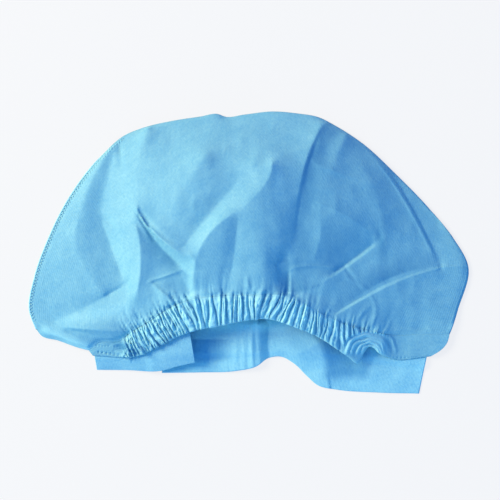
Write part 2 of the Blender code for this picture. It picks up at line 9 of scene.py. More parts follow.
import bpy
import numpy as np
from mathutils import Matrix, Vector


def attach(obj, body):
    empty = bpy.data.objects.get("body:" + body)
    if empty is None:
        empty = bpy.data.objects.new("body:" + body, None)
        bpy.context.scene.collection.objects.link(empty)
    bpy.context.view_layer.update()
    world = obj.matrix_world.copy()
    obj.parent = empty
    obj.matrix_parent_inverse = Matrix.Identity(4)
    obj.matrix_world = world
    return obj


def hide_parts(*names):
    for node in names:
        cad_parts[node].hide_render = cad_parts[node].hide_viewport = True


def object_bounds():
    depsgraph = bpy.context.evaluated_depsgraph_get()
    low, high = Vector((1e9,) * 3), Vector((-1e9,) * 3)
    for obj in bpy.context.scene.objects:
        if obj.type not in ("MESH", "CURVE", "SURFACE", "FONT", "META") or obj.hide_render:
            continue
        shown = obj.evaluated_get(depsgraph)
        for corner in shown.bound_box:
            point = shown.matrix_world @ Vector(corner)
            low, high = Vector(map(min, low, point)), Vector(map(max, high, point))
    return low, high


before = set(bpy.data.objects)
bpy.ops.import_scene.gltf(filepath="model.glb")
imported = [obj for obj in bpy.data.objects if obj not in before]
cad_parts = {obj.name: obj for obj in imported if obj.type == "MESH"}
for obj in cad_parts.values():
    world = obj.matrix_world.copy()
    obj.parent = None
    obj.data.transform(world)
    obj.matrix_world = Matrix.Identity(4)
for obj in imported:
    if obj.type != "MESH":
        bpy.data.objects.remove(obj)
cad_low, cad_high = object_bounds()

# Sizes, in metres
CAP_WIDTH = cad_high.x - cad_low.x
CAP_DEPTH = cad_high.y - cad_low.y
MM = 0.001
CLOTH = 0.35 * MM
LAYER = 1.3 * MM
RIM_LIFT = 1.7 * MM
RIM_INSET = 0.4 * MM
SEAM_WIDTH = 1.2 * MM
CROWN_RISE = 36 * MM
HEM_LIFT = 19 * MM
FOLD_RISE = 10 * MM
BAND_RISE = 4.5 * MM
OVERLAP_DROP = 1.5 * MM
OVERLAP_NOTCH = 6 * MM
LAP_RAMP = 6 * MM
PLEAT_RISE = 1.9 * MM
CASING_PUFF = 1.6 * MM
CASING_LIP = 0.9 * MM
CASING_FALL = 18 * MM
END_BULGE = 3.2 * MM
THREAD = 0.34 * MM
THREAD_PITCH = 2.3 * MM
THREAD_REACH = 2.1 * MM
THREAD_INSET = 0.5 * MM
DOT_PITCH = 1.5 * MM
BUMP_DEPTH = 0.35 * MM
# The crown's grid is finer near the casing, within a share of the crown's depth, and near sharp creases
HEM_BELT = 0.09
CREASE_BELT = 2.2 * MM
# The softness below which a crease is sharp
SHARP_CREASE = 0.35

# Counts
CURVE_STEPS = 12
PLEATS = 54
CROWN_CELLS = (208, 120)
# The relief's cells over the cap's width, and the free ones round it
RELIEF_CELLS = 884
RELIEF_MARGIN = 4
# How often the relief is smoothed, on its coarse rasters and its last one, then where it is sharp and where
# it is soft, and how often its softness is
COARSE_PASSES = 120
LAST_PASSES = 60
SHARP_PASSES = 3
SOFT_PASSES = 160
SOFTNESS_PASSES = 30
CASING_CELLS = (900, 40)
BAND_CELLS = (220, 48)
OVERLAP_CELLS = (160, 80)
PANEL_CELLS = (120, 70)
SEAM_CELLS = (700, 12)
THREAD_CELLS = (2400, 6)

# Where the outline's side edges end and its top edge begins, as shares of the outline's length
LEFT_CORNER = 0.30
RIGHT_CORNER = 0.80
CASING_CORNER = 0.962
# The stretch of the outline, in shares of its length, where the overlocking thread shows
THREAD_FROM = 0.012
THREAD_TO = 0.30
# The step before and behind a place that gives a curve's direction there
HEADING_STEP = 0.002
# The back panel's lower edge in its own share: seam, casing's left end, first pleat, last pleat, seam
HEM_BREAKS = (0.0, 0.102, 0.170, 0.915, 1.0)
# The usual roundness of a fold's crest and of its foot, and that of a place of painted shade or light
ROUNDNESS = (1.0, 1.2)
SHADE_ROUNDNESS = (1.2, 1.2)
# How strongly painted shade darkens the cloth deep in its folds, against the painted light of the gathered
# casing
PAINTED_CREASE_SHADE = 1.6
# The casing's puff at its upper edge, as a share of its full puff, and the puff of its flat ends
PUFF_AT_TOP = 0.55
PUFF_AT_ENDS = 0.15
# The share of the casing's width that is turned under its lower edge
TURNED_UNDER = 0.24
# The casing's rows between which it is gathered
GATHER_FROM = 2
GATHER_TO = 18
# What is drawn for each pleat. Columns: seed, least and greatest value
PLEAT_SIZE = (11, 0.65, 1.25)
PLEAT_CREST = (12, 0.34, 0.66)
PLEAT_SPLIT = (13, 0.0, 0.5)
PLEAT_PINCH = (17, 0.0, 0.6)
PLEAT_TOP = (19, -0.34, 0.16)
PLEAT_FOOT = (20, 0.75, 1.6)
SPLIT_PLACE = (21, 0.0, 0.5)
HIGHER_TOP = (22, 0.2, 1.0)
PINCH_PLACE = (23, -0.10, 0.08)

# Colours, as linear red, green and blue, the cloths' own with their slots
CLOTHS = (
    ("back_cloth", (0.26, 0.60, 0.735)),
    ("front_cloth", (0.25, 0.58, 0.72)),
    ("casing_cloth", (0.26, 0.60, 0.735)),
    ("seam_thread", (0.38, 0.76, 0.87)),
    # The band's cloth is lighter than the front panel's: painted light on the cloth that lies in shade below
    # the casing
    ("band_cloth", (0.34, 0.71, 0.83)),
)
SKY_BLUE = (0.15, 0.385, 0.91, 1.0)
TABLE_GREY = (0.10, 0.10, 0.10, 1.0)
TABLE_GLOW = (1.0, 0.99, 0.985, 1.0)
# What the cloth's colour is multiplied by, in its thin and thick spots, and in painted shade and painted
# light
THIN_SPOT = (0.66, 0.84, 0.94)
THICK_SPOT = (1.34, 1.16, 1.05)
PAINTED_SHADE_TINT = (0.42, 0.64, 0.82, 1.0)
PAINTED_LIGHT_TINT = (1.62, 1.36, 1.20, 1.0)
CLOTH_ROUGHNESS = 0.62
CLOTH_SHINE = 0.35
SEEN_THROUGH = 0.30
# How fine the cloth's clouds, its mottle and its fibres are
CLOUD_SCALE = 70.0
MOTTLE_SCALE = 420.0
FIBRE_SCALE = 1300.0
TABLE_ROUGHNESS = 0.9
TABLE_STRENGTH = 0.80
SKY_STRENGTH = 1.0

# The camera straight above, the height at which the cap is fitted to the picture, and how much wider the
# picture is
CAMERA_PLACE = (0.0007, 0.0016, 1.6)
FITTED_HEIGHT = 0.01
PICTURE_SHARE = 500 / 442
SENSOR_WIDTH = 36.0
TABLE_SIZE = 6.0
# Area lamps that shine on the cap's middle. Columns: name, width and height in metres, watts, colour, then
# the turn from +X and the rise over the table in degrees
LAMP_DISTANCE = 2.9
LAMPS = (
    ("window", 1.4, 1.0, 148.0, (1.0, 0.89, 0.56), 161, 26),
    ("fill", 1.4, 1.4, 22.0, (0.35, 0.9, 1.0), -90, 26),
)

# In every table, places across and up are in thousandths of the cap's width and depth.
# The outline, clockwise from the left end of the seam. Columns: across, up
OUTLINE = (
    (15, 227),
    (0, 290),
    (12, 417),
    (43, 550),
    (90, 694),
    (158, 833),
    (217, 916),
    (258, 942),
    (326, 967),
    (389, 982),
    (430, 991),
    (445, 982),
    (489, 989),
    (552, 1000),
    (611, 993),
    (656, 981),
    (701, 946),
    (758, 888),
    (837, 775),
    (907, 663),
    (966, 550),
    (1000, 445),
    (977, 297),
    (959, 213),
    (939, 156),
    (914, 130),
)

# The free edge of the back panel, from the seam's left end to the casing. Columns: across, up
FREE_HEM = (
    (27, 206),
    (66, 188),
    (111, 163),
)

# The casing, left to right. Columns: the upper edge across and up, the lower edge across and up, then the
# lift of the upper edge and of the lower edge as shares of the hem's lift
CASING_SECTIONS = (
    (136, 153, 145, 134, 0.00, 0.00),
    (156, 177, 170, 131, 0.02, 0.00),
    (208, 188, 208, 128, 0.06, 0.02),
    (235, 220, 243, 130, 0.22, 0.12),
    (276, 258, 295, 165, 0.42, 0.28),
    (317, 300, 335, 198, 0.62, 0.46),
    (362, 332, 375, 222, 0.82, 0.64),
    (430, 346, 432, 240, 0.95, 0.78),
    (504, 350, 504, 262, 1.00, 0.84),
    (586, 346, 566, 257, 0.98, 0.82),
    (618, 325, 605, 235, 0.92, 0.76),
    (656, 293, 645, 210, 0.80, 0.64),
    (688, 269, 680, 178, 0.66, 0.50),
    (719, 248, 724, 130, 0.52, 0.34),
    (740, 238, 747, 106, 0.42, 0.20),
    (760, 229, 762, 146, 0.34, 0.20),
    (785, 220, 777, 166, 0.26, 0.22),
    (806, 214, 800, 137, 0.18, 0.14),
    (824, 209, 826, 123, 0.10, 0.05),
    (890, 211, 870, 123, 0.03, 0.01),
    (956, 211, 912, 131, 0.00, 0.00),
)

# Round creases about the arch at the casing's right end and about the curl at its left end, a little wider
# than high. Columns: centre across and up, then radius, reach and the rise to its left and to its right, in
# millimetres
ARCH_MIDDLE = (772, 149)
ARCH_RADIUS = 15.5 * MM
ARCH_STRETCH = 1.33
ARCH_RINGS = (
    (774.7, 149, 4.3, 1.1, 1.0, 0.8),
    (772.4, 149, 6.4, 1.1, 1.1, 0.6),
    (770.1, 149, 8.6, 1.2, 1.1, 0.4),
    (767.9, 149, 11.4, 1.5, 1.3, 0.2),
    (764.7, 149, 14.7, 1.7, 1.3, 0.0),
    (240, 135, 3.4, 1.1, 0.8, 0.9),
    (238, 132, 5.8, 1.1, 0.9, 1.1),
)

# Folds of the casing's flat ends, in the columns of the crown's wrinkles
CASING_FOLDS = (
    (814, 223, 826, 188, 833, 153, 4, 7, 4, 7, 6),
    (787, 213, 808, 199, 822, 162, -3, -5, -2, 7, 7),
    (190, 170, 224, 178, 260, 153, 5, 12, 6, 7, 7),
    (195, 153, 226, 156, 256, 128, -4, -10, -5, 7, 7),
    (208, 135, 231, 128, 244, 107, 3, 8, 4, 7, 7),
)

# Painted shade on the casing, in the same columns, with the strength in hundredths in place of the rise
CASING_PAINTED_SHADES = (
    (186, 190, 215, 168, 242, 148, 80, 170, 130, 18, 18),
    (240, 138, 310, 176, 375, 224, 50, 60, 40, 20, 20),
    (362, 339, 369, 308, 376, 269, 50, 80, 50, 16, 16),
    (538, 332, 557, 325, 575, 318, 40, 60, 40, 18, 18),
    (656, 227, 692, 188, 733, 135, 40, 70, 50, 18, 18),
)

# Rows of stitches pressed into the casing. Columns: start and end, each across and up, then the pitch and
# the depth in millimetres
STITCH_ROWS = (
    (154, 170, 204, 166, 2.1, 0.35),
    (158, 148, 210, 136, 2.9, 0.85),
    (821, 125, 893, 124, 2.7, 0.80),
)

# The lower edge of the front panel, left to right. Columns: across, up
FRONT_EDGE = (
    (66, 190),
    (111, 166),
    (160, 158),
    (350, 175),
    (600, 182),
    (760, 166),
)

# The lower edge of the front band, left to right. Columns: across, up
BAND_EDGE = (
    (302, 73),
    (389, 75),
    (470, 80),
    (516, 96),
    (545, 126),
    (572, 131),
    (602, 107),
    (632, 62),
    (656, 30),
    (700, 14),
    (790, 4),
    (887, 0),
)
# The right end of the band's upper edge, across
BAND_TOP_RIGHT = 911
# How far under the casing the band reaches, as a share of the casing's height from its upper edge
BAND_TUCK = 0.35

# The overlap of the band, left to right. Columns: the lower edge across and up, the upper edge across and up
OVERLAP_SECTIONS = (
    (154, 84, 147, 148),
    (225, 83, 212, 165),
    (300, 81, 275, 200),
    (340, 98, 330, 235),
    (378, 111, 362, 262),
)

# The lower tip of the dark notch in the overlap, across and up
OVERLAP_TIP = (232, 102)

# Soft mounds of the crown. Columns: centre across and up, reach across and up, rise in thousandths of the
# crown's rise
MOUNDS = (
    (470, 600, 520, 580, 560),
    (400, 620, 260, 450, 170),
    (130, 420, 170, 380, 90),
    (853, 290, 170, 170, 30),
)

# Creases of the crown, between which its cloth is stretched. Columns: three knots, each across, up and a
# height in thousandths of the crown's rise, then the softness, from 0 for a sharp crease to 1
CREASES = (
    # left side: the plateau's edge, the valley, the ridge
    (190, 870, 117, 145, 761, 156, 118, 631, 175, 0.6),
    (118, 631, 175, 111, 501, 194, 172, 353, 239, 0.1),
    (195, 870, 111, 172, 726, 139, 161, 631, 150, 0.5),
    (161, 631, 147, 188, 515, 167, 219, 388, 239, 0.2),
    (276, 961, 125, 251, 807, 367, 242, 610, 483, 0.9),
    (242, 610, 483, 256, 480, 522, 244, 339, 428, 0.0),
    # lower left: the crease from the corner, the edge of the bright face, the shadow below and the rolled rim
    (41, 248, 78, 129, 308, 136, 224, 388, 233, 0.0),
    (72, 237, 128, 149, 227, 264, 217, 223, 244, 0.2),
    (86, 227, 122, 145, 213, 161, 190, 192, 150, 0.2),
    (32, 223, 83, 77, 199, 156, 136, 167, 133, 0.2),
    # left middle: the pinched fold with its lip and foot, the pale triangle
    (244, 670, 506, 283, 571, 622, 362, 483, 744, 0.0),
    (251, 645, 483, 294, 550, 544, 353, 473, 656, 0.0),
    (251, 631, 461, 292, 536, 450, 344, 452, 444, 0.0),
    (281, 392, 428, 312, 413, 472, 344, 431, 511, 0.0),
    (281, 392, 428, 305, 350, 483, 344, 290, 444, 0.0),
    (346, 431, 511, 357, 388, 500, 360, 339, 461, 0.1),
    (362, 434, 572, 364, 388, 525, 367, 343, 469, 0.1),
    # centre: foot and crest of the diagonal ridge, the leaf's right edge, the upright ridge
    (403, 838, 656, 351, 712, 694, 330, 564, 678, 0.9),
    (511, 810, 706, 439, 684, 686, 353, 522, 692, 0.6),
    (552, 814, 739, 534, 733, 828, 473, 638, 861, 0.3),
    (471, 638, 861, 398, 536, 861, 373, 378, 606, 0.2),
    (475, 631, 844, 466, 490, 733, 448, 360, 567, 0.0),
    (529, 645, 844, 536, 508, 794, 529, 360, 644, 0.5),
    (568, 627, 783, 568, 525, 733, 552, 367, 606, 0.7),
    # right of centre: the long drop
    (672, 961, 111, 622, 782, 589, 595, 508, 611, 0.0),
    (679, 954, 108, 629, 779, 550, 602, 504, 589, 0.1),
    (724, 923, 108, 679, 761, 506, 624, 508, 581, 0.7),
    # right: the ridge beyond it, the dark face, the folds that meet at the knot
    (643, 677, 583, 706, 638, 544, 787, 557, 328, 0.0),
    (652, 656, 589, 661, 578, 589, 647, 480, 567, 0.0),
    (686, 424, 411, 742, 483, 311, 785, 536, 283, 0.1),
    (790, 529, 306, 747, 476, 350, 692, 417, 450, 0.0),
    (692, 417, 456, 652, 385, 494, 600, 346, 517, 0.1),
    (593, 434, 550, 629, 448, 544, 692, 445, 428, 0.0),
    (586, 487, 606, 563, 462, 622, 570, 413, 556, 0.2),
    (588, 431, 517, 588, 395, 500, 586, 353, 494, 0.1),
    (593, 434, 550, 593, 395, 536, 593, 357, 522, 0.1),
    (629, 360, 483, 683, 346, 411, 744, 371, 350, 0.4),
    # right side: the crown's edge over the outer strip, the flap and the hollow above it
    (776, 852, 89, 853, 694, 125, 934, 441, 97, 0.0),
    (781, 852, 69, 857, 696, 94, 939, 445, 75, 0.0),
    (751, 814, 267, 792, 673, 333, 805, 543, 311, 0.7),
    (993, 452, 72, 864, 413, 222, 688, 272, 428, 0.0),
    (989, 459, 61, 862, 418, 203, 765, 350, 303, 0.0),
    (765, 350, 303, 729, 318, 336, 695, 286, 394, 0.0),
)

# Small wrinkles of the crown. Columns: start, middle and end, each across and up, the rise at each in
# hundredths of the fold rise, the reach to the left and to the right of its line in thousandths of the width,
# then the roundness of its crest and of its foot, where these aren't the usual ones
WRINKLES = (
    # left side: small creases on the bright face, the second pinch
    (199, 909, 206, 859, 210, 803, -5, -10, -4, 9, 9, 1.0, 1.3),
    (170, 627, 186, 599, 204, 568, -4, -9, -3, 11, 11, 1.0, 1.3),
    (174, 350, 199, 367, 226, 395, -3, -8, -3, 9, 9, 1.0, 1.3),
    (231, 649, 256, 603, 278, 540, 5, 13, 4, 7, 9),
    (253, 670, 290, 585, 367, 501, -4, -8, -4, 9, 7),
    # middle: ripples where the diagonal ridge meets the casing, the upright ridge's dimple
    (357, 508, 371, 487, 380, 452, 4, 9, 3, 9, 9),
    (495, 420, 498, 388, 502, 357, 3, 8, 3, 7, 9),
    (416, 831, 480, 895, 529, 916, 1, 3, 1, 18, 23, 1.2, 1.4),
    # left middle: crisp edges of the pale triangle and the lip
    (278, 395, 312, 350, 353, 290, 6, 10, 5, 6, 7),
    (276, 399, 312, 417, 346, 438, 5, 10, 5, 6, 7),
    (240, 673, 281, 578, 353, 490, 4, 7, 4, 6, 7),
    # right of centre: edges of the pocket above the casing
    (593, 438, 629, 452, 692, 445, 3, 6, 3, 6, 7),
    (593, 438, 595, 399, 595, 357, 2, 4, 2, 5, 6),
    (715, 452, 733, 413, 753, 367, -3, -7, -3, 6, 7),
    # right: the bright edge beside the outer strip
    (771, 852, 848, 694, 930, 445, 2, 4, 2, 5, 6),
    # right: creases from the knot and on the flap, faint ones above
    (717, 417, 744, 392, 771, 364, 2, 4, 2, 7, 7),
    (647, 814, 695, 782, 742, 761, 3, 7, 3, 16, 11, 1.0, 1.4),
    (640, 733, 683, 719, 733, 726, 2, 5, 2, 14, 14, 1.0, 1.4),
    (774, 350, 787, 301, 778, 241, 3, 7, 3, 6, 7),
    (747, 265, 760, 293, 774, 318, 2, 6, 2, 6, 7),
    (812, 220, 869, 223, 928, 216, 2, 5, 2, 9, 7),
    (910, 234, 925, 199, 937, 163, 4, 9, 4, 7, 9),
    (787, 585, 796, 557, 790, 533, -3, -7, -3, 11, 11, 1.2, 1.2),
)

# Painted shade and painted light of the crown, darker in hollows and on faces turned from the light, lighter
# on faces turned to it. The columns are the wrinkles' own, the strength in hundredths in place of the rise,
# less than 0 for light
CROWN_PAINTED_SHADES = (
    # the dark face under the lip, the light rolled rim
    (258, 613, 294, 529, 344, 448, 10, 70, 90, 5, 41, 1.0, 1.0),
    (38, 230, 86, 195, 145, 163, -50, -90, -90, 14, 14, 1.5, 1.2),
    # the long drop, the dark face right of it, the knot
    (661, 923, 631, 782, 609, 543, 70, 80, 40, 63, 14, 1.0, 1.2),
    (656, 631, 676, 550, 679, 466, 30, 55, 40, 90, 16, 1.0, 1.2),
    (792, 599, 799, 543, 805, 487, 30, 110, 40, 20, 16),
    # both sides of the pocket
    (588, 466, 590, 402, 586, 353, 40, 70, 60, 2, 38, 1.0, 1.0),
    (600, 364, 643, 378, 688, 406, 60, 50, 30, 36, 5, 1.0, 1.0),
    # the bright face, the place above the pocket, the hollow above the flap
    (77, 258, 149, 279, 222, 301, -40, -60, -50, 29, 27),
    (620, 571, 629, 501, 643, 452, 20, 50, 50, 36, 36),
    (729, 332, 819, 413, 898, 445, 40, 100, 40, 48, 5, 1.0, 1.2),
    # above the lip, inside the triangle, right of the pocket's edge
    (258, 663, 292, 599, 335, 533, 30, 60, 40, 34, 5, 1.0, 1.2),
    (299, 388, 326, 388, 348, 364, 30, 50, 40, 20, 20),
    (606, 466, 609, 424, 615, 381, 50, 60, 40, 20, 14),
    # dark places above the casing
    (534, 364, 554, 357, 577, 346, 40, 70, 40, 20, 20),
    (407, 357, 428, 353, 448, 357, 40, 60, 40, 18, 18),
    # light places
    (552, 824, 566, 754, 561, 666, -40, -50, -20, 20, 20),
    (665, 399, 686, 413, 710, 431, -40, -50, -30, 11, 14),
    (213, 258, 235, 244, 251, 227, -30, -60, -40, 20, 18),
)

# Waves of the front band. The columns are the wrinkles' own, with the rise in hundredths of the band's rise
BAND_WAVES = (
    # the raised stretch with its streaks, the bulge right of it
    (520, 245, 521, 160, 524, 79, 140, 80, 45, 22, 96, 1.5, 1.2),
    (506, 245, 507, 160, 509, 79, 22, 24, 12, 9, 12, 1.1, 1.3),
    (490, 245, 490, 156, 488, 79, 6, 10, 6, 11, 12, 1.3, 1.5),
    (472, 245, 471, 156, 469, 79, 5, 8, 5, 12, 12, 1.3, 1.5),
    (615, 265, 656, 178, 676, 94, 130, 145, 40, 64, 110, 1.3, 1.3),
    # the right end
    (751, 93, 778, 51, 796, 9, 13, 20, 13, 68, 54, 1.8, 1.5),
    (609, 125, 636, 128, 663, 121, 4, 11, 4, 7, 9),
)

# Patches of painted shade and painted light on the band: the shade in the recess beside the overlap and the
# casing's shadow, and light just under the casing. Columns: left and right across, foot and top up, the
# softness of these four edges in millimetres, and the tone, less than 0 for shade
BAND_PAINTED_SHADING = (
    (371, 450, 116, 192, 2.0, 13.0, 5.0, 1.2, -1.0),
    (674, 772, 56, 300, 8.0, 8.0, 9.0, 1.0, -1.0),
    (590, 690, 140, 300, 14.0, 8.0, 14.0, 1.0, -0.45),
    (400, 590, 222, 300, 14.0, 14.0, 6.0, 1.0, 1.0),
)


# Curves in the plan


def plane(across, up):
    """A point of the plan from thousandths of the cap's width and depth."""
    return (across / 1000 - 0.5) * CAP_WIDTH, (up / 1000 - 0.5) * CAP_DEPTH


def plan_points(rows):
    return np.array([plane(row[0], row[1]) for row in rows])


def section_points(rows):
    """The two points of each row in the plan, and whatever else the row holds."""
    return [(*plane(*row[0:2]), *plane(*row[2:4]), *row[4:]) for row in rows]


def ease(value):
    """0 below 0, 1 above 1, and a smooth rise between."""
    value = np.clip(value, 0.0, 1.0)
    return value * value * (3.0 - 2.0 * value)


def mix(first, second, share):
    """The first value where the share is 0, the second where it is 1."""
    return (1 - share) * first + share * second


def smooth_curve(rows):
    """Dense points on a smooth curve through the rows, and each point's place as a fraction of a row."""
    rows = np.asarray(rows, float)
    padded = np.vstack([2 * rows[0] - rows[1], rows, 2 * rows[-1] - rows[-2]])
    chords = np.linalg.norm(np.diff(padded[:, :2], axis=0), axis=1)
    slopes = np.diff(padded, axis=0) / chords[:, None]
    before = chords[:-1, None]
    after = chords[1:, None]
    tangents = (slopes[:-1] * after + slopes[1:] * before) / (before + after)
    points = []
    places = []
    for row in range(len(rows) - 1):
        chord = chords[row + 1]
        for t in np.linspace(0.0, 1.0, CURVE_STEPS, endpoint=False):
            rise = 3 * t * t - 2 * t * t * t
            leave = t * (1 - t) * (1 - t) * chord
            arrive = t * t * (t - 1) * chord
            point = mix(rows[row], rows[row + 1], rise)
            points.append(point + tangents[row] * leave + tangents[row + 1] * arrive)
            places.append(row + t)
    points.append(rows[-1])
    places.append(len(rows) - 1.0)
    return np.array(points), np.array(places)


def lengths_along(points):
    steps = np.linalg.norm(np.diff(points[:, :2], axis=0), axis=1)
    return np.concatenate([[0.0], np.cumsum(steps)])


def at_shares(points, shares):
    """The curve's points at the given shares of its length, in the shape of the shares."""
    along = lengths_along(points)
    shares = np.asarray(shares, float)
    return np.stack([np.interp(shares * along[-1], along, column) for column in points.T], axis=-1)


def moved_inward(points, distance):
    """A clockwise curve moved to its right by a distance."""
    tangents = np.gradient(points, axis=0)
    tangents /= np.linalg.norm(tangents, axis=1)[:, None]
    return points + distance * np.column_stack([tangents[:, 1], -tangents[:, 0]])


def heading(path, shares):
    """The direction of a curve at shares of its length."""
    ahead = at_shares(path, shares + HEADING_STEP) - at_shares(path, shares - HEADING_STEP)
    return ahead / np.linalg.norm(ahead, axis=-1)[..., None]


def arc(knots, t):
    """Points of a smooth arc through three knots."""
    bend = 2 * knots[1] - (knots[0] + knots[2]) / 2
    t = t[:, None]
    return knots[0] * (1 - t) ** 2 + 2 * bend * t * (1 - t) + knots[2] * t**2


outline = smooth_curve(plan_points(OUTLINE))[0]
rim = moved_inward(outline, RIM_INSET)
front_edge = smooth_curve(np.vstack([rim[:1], plan_points(FRONT_EDGE), rim[-1:]]))[0]


def rim_patch(u, v, lower, last):
    """The plan of a sheet between a lower edge and the rim, of which it takes the stretch up to a share."""
    top = at_shares(rim, LEFT_CORNER + u * (RIGHT_CORNER - LEFT_CORNER))
    left = at_shares(rim, v * LEFT_CORNER)
    right = at_shares(rim, last + v * (RIGHT_CORNER - last))
    low_ends = at_shares(rim, [0.0, last])
    top_ends = at_shares(rim, [LEFT_CORNER, RIGHT_CORNER])
    points = []
    for axis in (0, 1):
        across = mix(left[..., axis], right[..., axis], u)
        along = mix(lower[..., axis], top[..., axis], v)
        left_end, right_end = (mix(low_ends[k, axis], top_ends[k, axis], v) for k in (0, 1))
        points.append(across + along - mix(left_end, right_end, u))
    return points


# Heights of folds and mounds


def fold_heights(x, y, rows, rise, roundness=ROUNDNESS):
    """The summed height of a table of folds at the points x, y."""
    heights = np.zeros_like(x)
    steps = np.linspace(0.0, 1.0, 2 * CURVE_STEPS + 1)
    for row in rows:
        line = arc([np.array(plane(*row[k : k + 2])) for k in (0, 2, 4)], steps)
        nearest = np.full_like(x, np.inf)
        side = np.zeros_like(x)
        place = np.zeros_like(x)
        for k in range(len(line) - 1):
            run = line[k + 1] - line[k]
            dx = x - line[k, 0]
            dy = y - line[k, 1]
            along = np.clip((dx * run[0] + dy * run[1]) / run.dot(run), 0.0, 1.0)
            off_x = dx - along * run[0]
            off_y = dy - along * run[1]
            away = np.hypot(off_x, off_y)
            closer = away < nearest
            nearest = np.where(closer, away, nearest)
            side = np.where(closer, run[0] * off_y - run[1] * off_x, side)
            place = np.where(closer, steps[k] + along * (steps[k + 1] - steps[k]), place)
        rises = np.interp(place, [0.0, 0.5, 1.0], np.array(row[6:9]) / 100)
        reach = np.where(side > 0, row[9], row[10]) / 1000 * CAP_WIDTH
        near = np.clip(nearest / reach, 0.0, 1.0)
        crest, foot = row[11:] or roundness
        heights += rise * rises * (1 - near**crest) ** foot
    return heights


def painted_shades(x, y, rows):
    """The summed strength of a table of painted shade and painted light at the points x, y."""
    return fold_heights(x, y, rows, 1.0, SHADE_ROUNDNESS)


def mound_heights(x, y):
    """The summed height of the mounds at the points x, y."""
    heights = np.zeros_like(x)
    for across, up, reach_across, reach_up, rise in MOUNDS:
        centre_x, centre_y = plane(across, up)
        away = ((x - centre_x) / (reach_across / 1000 * CAP_WIDTH)) ** 2
        away = away + ((y - centre_y) / (reach_up / 1000 * CAP_DEPTH)) ** 2
        heights += CROWN_RISE * rise / 1000 * (1 - np.clip(away, 0.0, 1.0)) ** 2
    return heights


def soft_noise(x, y, cell, seed):
    """Smooth chance heights between -1 and 1, one draw to each cell of the plan."""
    size = 64
    draws = np.random.default_rng(seed).uniform(-1.0, 1.0, (size, size))
    column = np.floor(x / cell).astype(int)
    row = np.floor(y / cell).astype(int)
    across = ease(x / cell - column)
    along = ease(y / cell - row)
    left = column % size
    right = (column + 1) % size
    low, high = (mix(draws[left, k % size], draws[right, k % size], across) for k in (row, row + 1))
    return mix(low, high, along)


# The gathers, shared by the casing and the crown above it


casing_dense, casing_places = smooth_curve(section_points(CASING_SECTIONS))
casing_along = lengths_along(casing_dense) / lengths_along(casing_dense)[-1]
GATHER_START, GATHER_END = np.interp([GATHER_FROM, GATHER_TO], casing_places, casing_along)


def gather_phase(place):
    """How many pleats lie before a place on the casing, and which share of the gathered stretch. The pleats
    are uneven, and finer towards both ends."""
    rng = np.random.default_rng(7)
    middle = np.sin(np.pi * (np.arange(PLEATS) + 0.5) / PLEATS)
    widths = rng.uniform(0.65, 1.35, PLEATS) * (0.62 + 0.6 * middle)
    edges = np.concatenate([[0.0], np.cumsum(widths) / widths.sum()])
    inner = (place - GATHER_START) / (GATHER_END - GATHER_START)
    return np.interp(inner, edges, np.arange(PLEATS + 1.0), left=-1.0, right=PLEATS + 1.0), inner


def ridges(phase, sharpness):
    """Rounded crests with narrow valleys at whole numbers of the phase."""
    return np.abs(np.sin(np.pi * phase)) ** sharpness


def pleat_draws(phase, seed, low, high):
    """A chance value for each pleat."""
    draws = np.random.default_rng(seed).uniform(low, high, PLEATS + 4)
    return draws[np.clip(np.floor(phase).astype(int) + 1, 0, PLEATS + 3)]


def in_gather(inner):
    """1 where the casing is gathered, 0 at its flat ends."""
    return ease(inner / 0.03) * ease((1 - inner) / 0.03)


def hem_place(u):
    """The place on the casing above which a share of the back panel's lower edge lies."""
    breaks = [-0.1, 0.0, GATHER_START, GATHER_END, 1.0]
    return np.interp(u, HEM_BREAKS, breaks)


def casing_height(place, w):
    """The pleats' height, and how deep in a fold a place lies. The place is along the casing, and w is the
    share of the way to its lower edge, less than 0 on the crown above it."""
    phase, inner = gather_phase(place)
    left = ease((0.36 - inner) / 0.16)
    phase = phase + (0.85 * soft_noise(place * 60, place * 0 + 0.5, 1.0, 3) - 1.6 * left) * (w - 0.5)
    phase = phase + 0.25 * soft_noise(phase * 0.8, w * 2.5, 1.0, 18)
    fraction = phase - np.floor(phase)
    top = pleat_draws(phase, *PLEAT_CREST)
    crest = np.minimum(fraction / top, (1 - fraction) / (1 - top))
    crest = crest * (1.7 - 0.7 * crest)
    upper_end = pleat_draws(phase, *PLEAT_TOP) - 0.5 * left * pleat_draws(phase, *HIGHER_TOP)
    from_top = ease((w - upper_end + 0.10) / 0.20)
    to_foot = ease((pleat_draws(phase, *PLEAT_FOOT) - w) / 0.18)
    size = pleat_draws(phase, *PLEAT_SIZE) * (0.15 + 0.85 * from_top * (0.4 + 0.6 * to_foot))
    size = size * (0.7 + 0.3 * np.sin(np.pi * np.clip(inner, 0.0, 1.0)))
    split = ridges(2 * phase, 0.8) * pleat_draws(phase, *PLEAT_SPLIT)
    split = split * ridges(w + pleat_draws(phase, *SPLIT_PLACE), 1.0)
    crinkle = np.abs(soft_noise(phase * 2.6, w * 3.4, 1.0, 15))
    crinkle = crinkle + 0.6 * np.abs(soft_noise(phase * 5.0, w * 7.0, 1.0, 16))
    dent = (w - 0.02 - pleat_draws(phase, *PINCH_PLACE)) / 0.055
    pinch = 1 - pleat_draws(phase, *PLEAT_PINCH) * np.exp(-(dent**2)) * ease((0.90 - inner) / 0.10)
    height = (crest * size + (split - (0.45 + 0.4 * left) * crinkle) * from_top) * pinch * in_gather(inner)
    gap = (1 - crest) ** 2 * np.clip(1.5 * size, 0.0, 1.0) + 0.8 * (1 - pinch)
    return PLEAT_RISE * height, gap * in_gather(inner)


